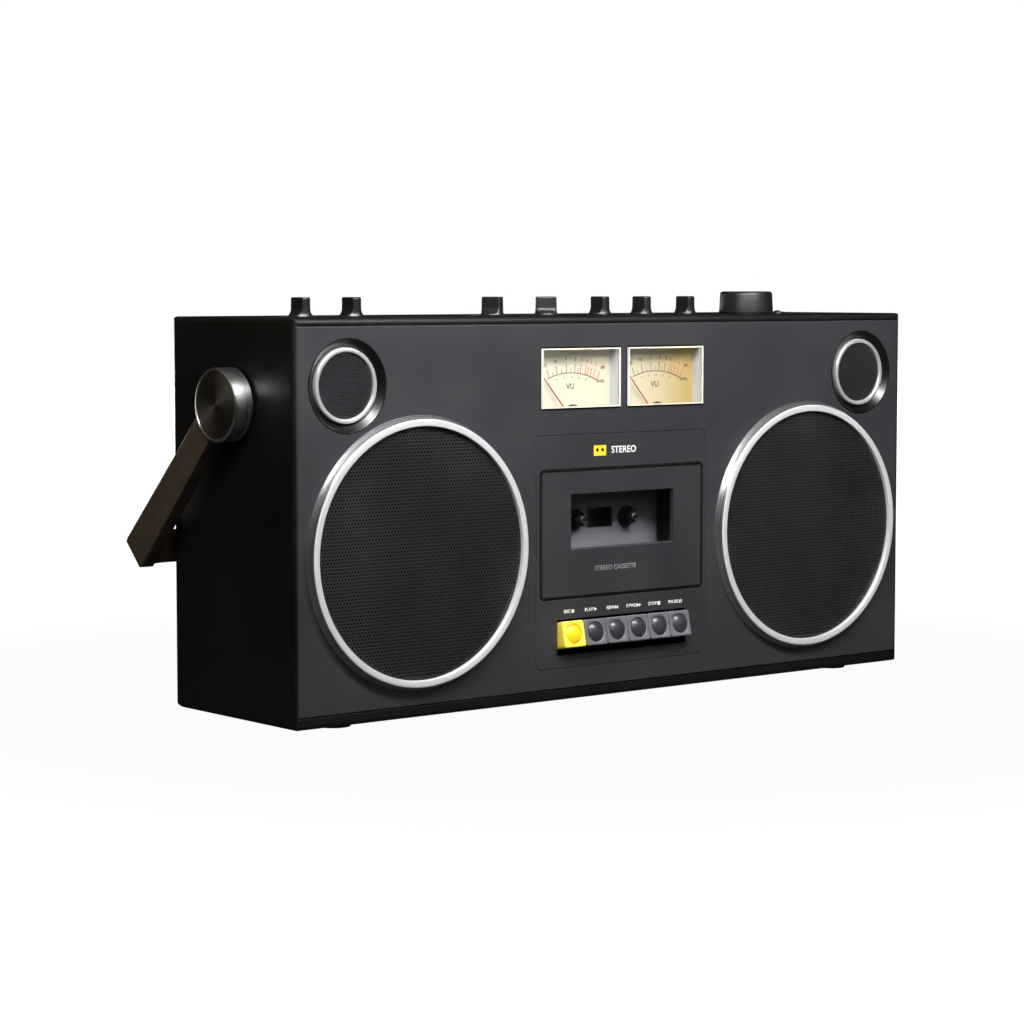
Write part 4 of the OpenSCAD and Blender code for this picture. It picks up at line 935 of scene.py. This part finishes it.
# Small pictogram of a cassette beside the deck's name: a plate with two round hubs cut out of it.
hub = directions(np.arange(16) / 16 * TURN) * 1.15
SIGN_X, SIGN_Z = -19.0, 155.2
YELLOW_SIGN = [(laid([[-5.0, -3.2], [5.0, -3.2], [5.0, 3.2], [-5.0, 3.2]], [[0, 1, 2, 3]],
                     (SIGN_X, PRINT_Y, SIGN_Z)), 1)]
for side in (-2.1, 2.1):
    YELLOW_SIGN.append((laid(hub, [list(range(16))], (SIGN_X + side, PRINT_Y - 0.03, SIGN_Z + 0.4)), 2))
LEGENDS.append((flat_text("STEREO", 4.3, (0.5, PRINT_Y, SIGN_Z), weight=0.05), 0))
printing("deck_legends", LEGENDS + YELLOW_SIGN, "cabinet", [INK_WHITE, INK_YELLOW, GAP_SHADE_AND_PRINT_BLACK], FRONT)
DOOR_LOW, DOOR_HIGH = corners("cassette_door")
printing("door_legend", [(flat_text("STEREO CASSETTE", 3.0, (-6.0, PRINT_Y, 82.5), weight=0.02), 0)],
         "door", [INK_GREY], FRONT)


def rounded_band(x0, x1, z0, z1, radius, width, middle):
    """Flat line of one width round a rectangle with round corners: the outline and its offset."""
    centre = np.array([(x0 + x1) / 2, (z0 + z1) / 2])
    half = np.array([(x1 - x0) / 2, (z1 - z0) / 2])
    inner = soft_box(half[0], half[1], radius, 8) + centre
    outer = soft_box(half[0] + width, half[1] + width, radius + width, 8) + centre
    k = np.arange(len(inner))
    faces = np.stack([k, (k + 1) % len(k), (k + 1) % len(k) + len(k), k + len(k)], -1)
    return laid(np.vstack([inner, outer]), faces, middle)


# Painted shadow line round the door, inside its outline, so it swings with the door; and round each meter:
# black bands that stand for the shade in the gaps.
GAP_SHADE_PLACE = (0, PANEL_Y - 0.03, 0)
GAP_SHADE_WIDTH = 1.5
inset = GAP_SHADE_WIDTH + 0.1
door_gap_band = rounded_band(DOOR_LOW[0] + inset, DOOR_HIGH[0] - inset, DOOR_LOW[2] + inset, DOOR_HIGH[2] - inset,
                      1.4, GAP_SHADE_WIDTH, GAP_SHADE_PLACE)
printing("door_gap_shade", [(door_gap_band, 0)], "door", [GAP_SHADE_AND_PRINT_BLACK], FRONT)
half = (cover_high[0] - 3.2) / 2
meter_gap_bands = [(rounded_band(x - half, x + half, 181.9, cover_high[2] + 0.1, 0.3, 0.8, GAP_SHADE_PLACE), 0)
                 for x in (-3.2 - half, 3.2 + half)]
printing("meter_gap_shades", meter_gap_bands, "cabinet", [GAP_SHADE_AND_PRINT_BLACK], FRONT)

# Top: an index ring of short strokes in front of each knob, and its name.
TOP_PRINT = []
TOP_Y = TOP_Z + 0.03
for title, x in [*KNOB_X.items(), ("volume", VOLUME_X)]:
    reach, word_away = (20.0, 26.0) if title == "volume" else (9.2, 15.0)
    ray = clock(np.linspace(-140, 140, 11)) * (1, -1)
    TOP_PRINT.append((laid(*bars(ray * reach, ray * (reach + 1.6), 0.35), (x, KNOB_Y, TOP_Y), "top"), 0))
    TOP_PRINT.append((flat_text(title.upper(), 2.4, (x, KNOB_Y + word_away, TOP_Y), "top"), 0))
printing("top_legends", TOP_PRINT, "cabinet", [INK_WHITE], UP)

# Back: names over the sockets and raised ribs behind the speakers.
SOCKET_TOP = corners("socket_panel")[1][2]
BACK_PRINT = [(flat_text(words, 2.0, (x, REAR_Y + 0.03, SOCKET_TOP + 1.0), "back"), 0)
              for words, x in (("MIC", 199.0), ("AUX", 211.0), ("PHONES", 223.0), ("AC IN", 176.0))]
printing("rear_legends", BACK_PRINT, "cabinet", [INK_GREY], BACK)

ribs = []
for z in np.linspace(100, 215, 16):
    outline = soft_box(1.1, 0.35, 0.3, 4)
    for middle in (-165.0, 165.0):
        ribs.append(loft([np.column_stack([np.full(len(outline), middle + end),
                                           REAR_Y + 0.1 + outline[:, 1] * share, z + outline[:, 0] * share])
                          for end, share in ((-60, 0.5), (-59.5, 1), (59.5, 1), (60, 0.5))]))
piece("rear_ribs", ribs, "cabinet", [CABINET_BLACK], (), 40)


# ---- Stage, lights and camera ----

def studio_floor():
    """Large pale sheet. The camera sees it nearly white with faint contact shadows; it lights the object
    from below only a little, as a sheet outside the lamps' beams does."""
    material, tree, shader, place = new_finish("floor_paper", roughness=0.9)
    fibre = add(tree, "TexNoise", None, {"Vector": place, "Scale": 3.0, "Detail": 2.0}).outputs["Fac"]
    wire(shader, Base_Color=shade_between(tree, fibre, "#303030", "#343434"))
    seen = add(tree, "LightPath").outputs["Is Camera Ray"]
    far = add(tree, "VectorMath", {"operation": "LENGTH"}, {0: place}).outputs["Value"]
    level = spread(tree, far, 1.04, 1.3, 0.4, 1.2)
    glow = add(tree, "Emission", None, {"Color": (1, 1, 1, 1), "Strength": level}).outputs[0]
    share = add(tree, "Math", {"operation": "MULTIPLY"}, {0: seen, 1: 0.93}).outputs[0]
    top = add(tree, "MixShader", None, {0: share, 1: shader.outputs[0], 2: glow}).outputs[0]
    tree.links.new(top, tree.nodes["Material Output"].inputs["Surface"])
    mesh = bpy.data.meshes.new("floor")
    mesh.from_pydata([(-6, -6, 0), (6, -6, 0), (6, 6, 0), (-6, 6, 0)], [], [(0, 1, 2, 3)])
    mesh.materials.append(material)
    sheet = bpy.data.objects.new("floor", mesh)
    bpy.context.scene.collection.objects.link(sheet)


def soft_box_light(name, place, target, width, height, power, tint="#ffffff", beam=180):
    """Rectangular lamp aimed at a point. beam is the angle its light spreads over, in degrees."""
    lamp = bpy.data.lights.new(name, "AREA")
    lamp.shape = "RECTANGLE"
    lamp.size = width
    lamp.size_y = height
    lamp.energy = power
    lamp.spread = math.radians(beam)
    lamp.color = linear(tint)[:3]
    holder = bpy.data.objects.new(name, lamp)
    holder.location = place
    holder.rotation_euler = (Vector(target) - Vector(place)).to_track_quat("-Z", "Y").to_euler()
    bpy.context.scene.collection.objects.link(holder)


studio_floor()
soft_box_light("key_front", (-0.2, -2.0, 1.3), (0, 0, 0.12), 0.9, 1.3, 9)
soft_box_light("key_right", (1.5, -1.9, 1.25), (0, 0, 0.14), 0.9, 1.4, 2.8)
soft_box_light("strip_above", (-0.14, -0.42, 0.56), (-0.02, -0.08, 0.24), 0.9, 0.12, 6.6, beam=130)
soft_box_light("top_soft", (0.1, 0.3, 1.9), (0, 0, 0.2), 1.8, 1.2, 1.6)
soft_box_light("back_fill", (0.05, 1.3, 0.12), (0.05, 0, 0.12), 0.5, 0.2, 5)
soft_box_light("rim_left", (-1.7, 1.2, 0.9), (-0.25, 0, 0.15), 0.5, 1.2, 1.7, "#ffe2c0")

world = bpy.data.worlds.new("studio")
world.use_nodes = True
sky = world.node_tree
seen = add(sky, "LightPath").outputs["Is Camera Ray"]
shade = add(sky, "Mix", {"data_type": "RGBA"}, {"Factor": seen, 6: (0.006, 0.006, 0.006, 1), 7: (1, 1, 1, 1)})
sky.links.new(shade.outputs[2], sky.nodes["Background"].inputs["Color"])
bpy.context.scene.world = world
bpy.context.scene.view_settings.view_transform = "Standard"

camera = bpy.data.cameras.new("camera")
camera.lens = 99.35
camera.sensor_width = 36.0
camera.clip_end = 50
viewer = bpy.data.objects.new("camera", camera)
viewer.location = (-1.15411, -1.3912, 0.25576)
line_of_sight = Vector((-0.08864, -0.07737, 0.12072)) - viewer.location
viewer.rotation_euler = line_of_sight.to_track_quat("-Z", "Y").to_euler()
bpy.context.scene.collection.objects.link(viewer)
bpy.context.scene.camera = viewer
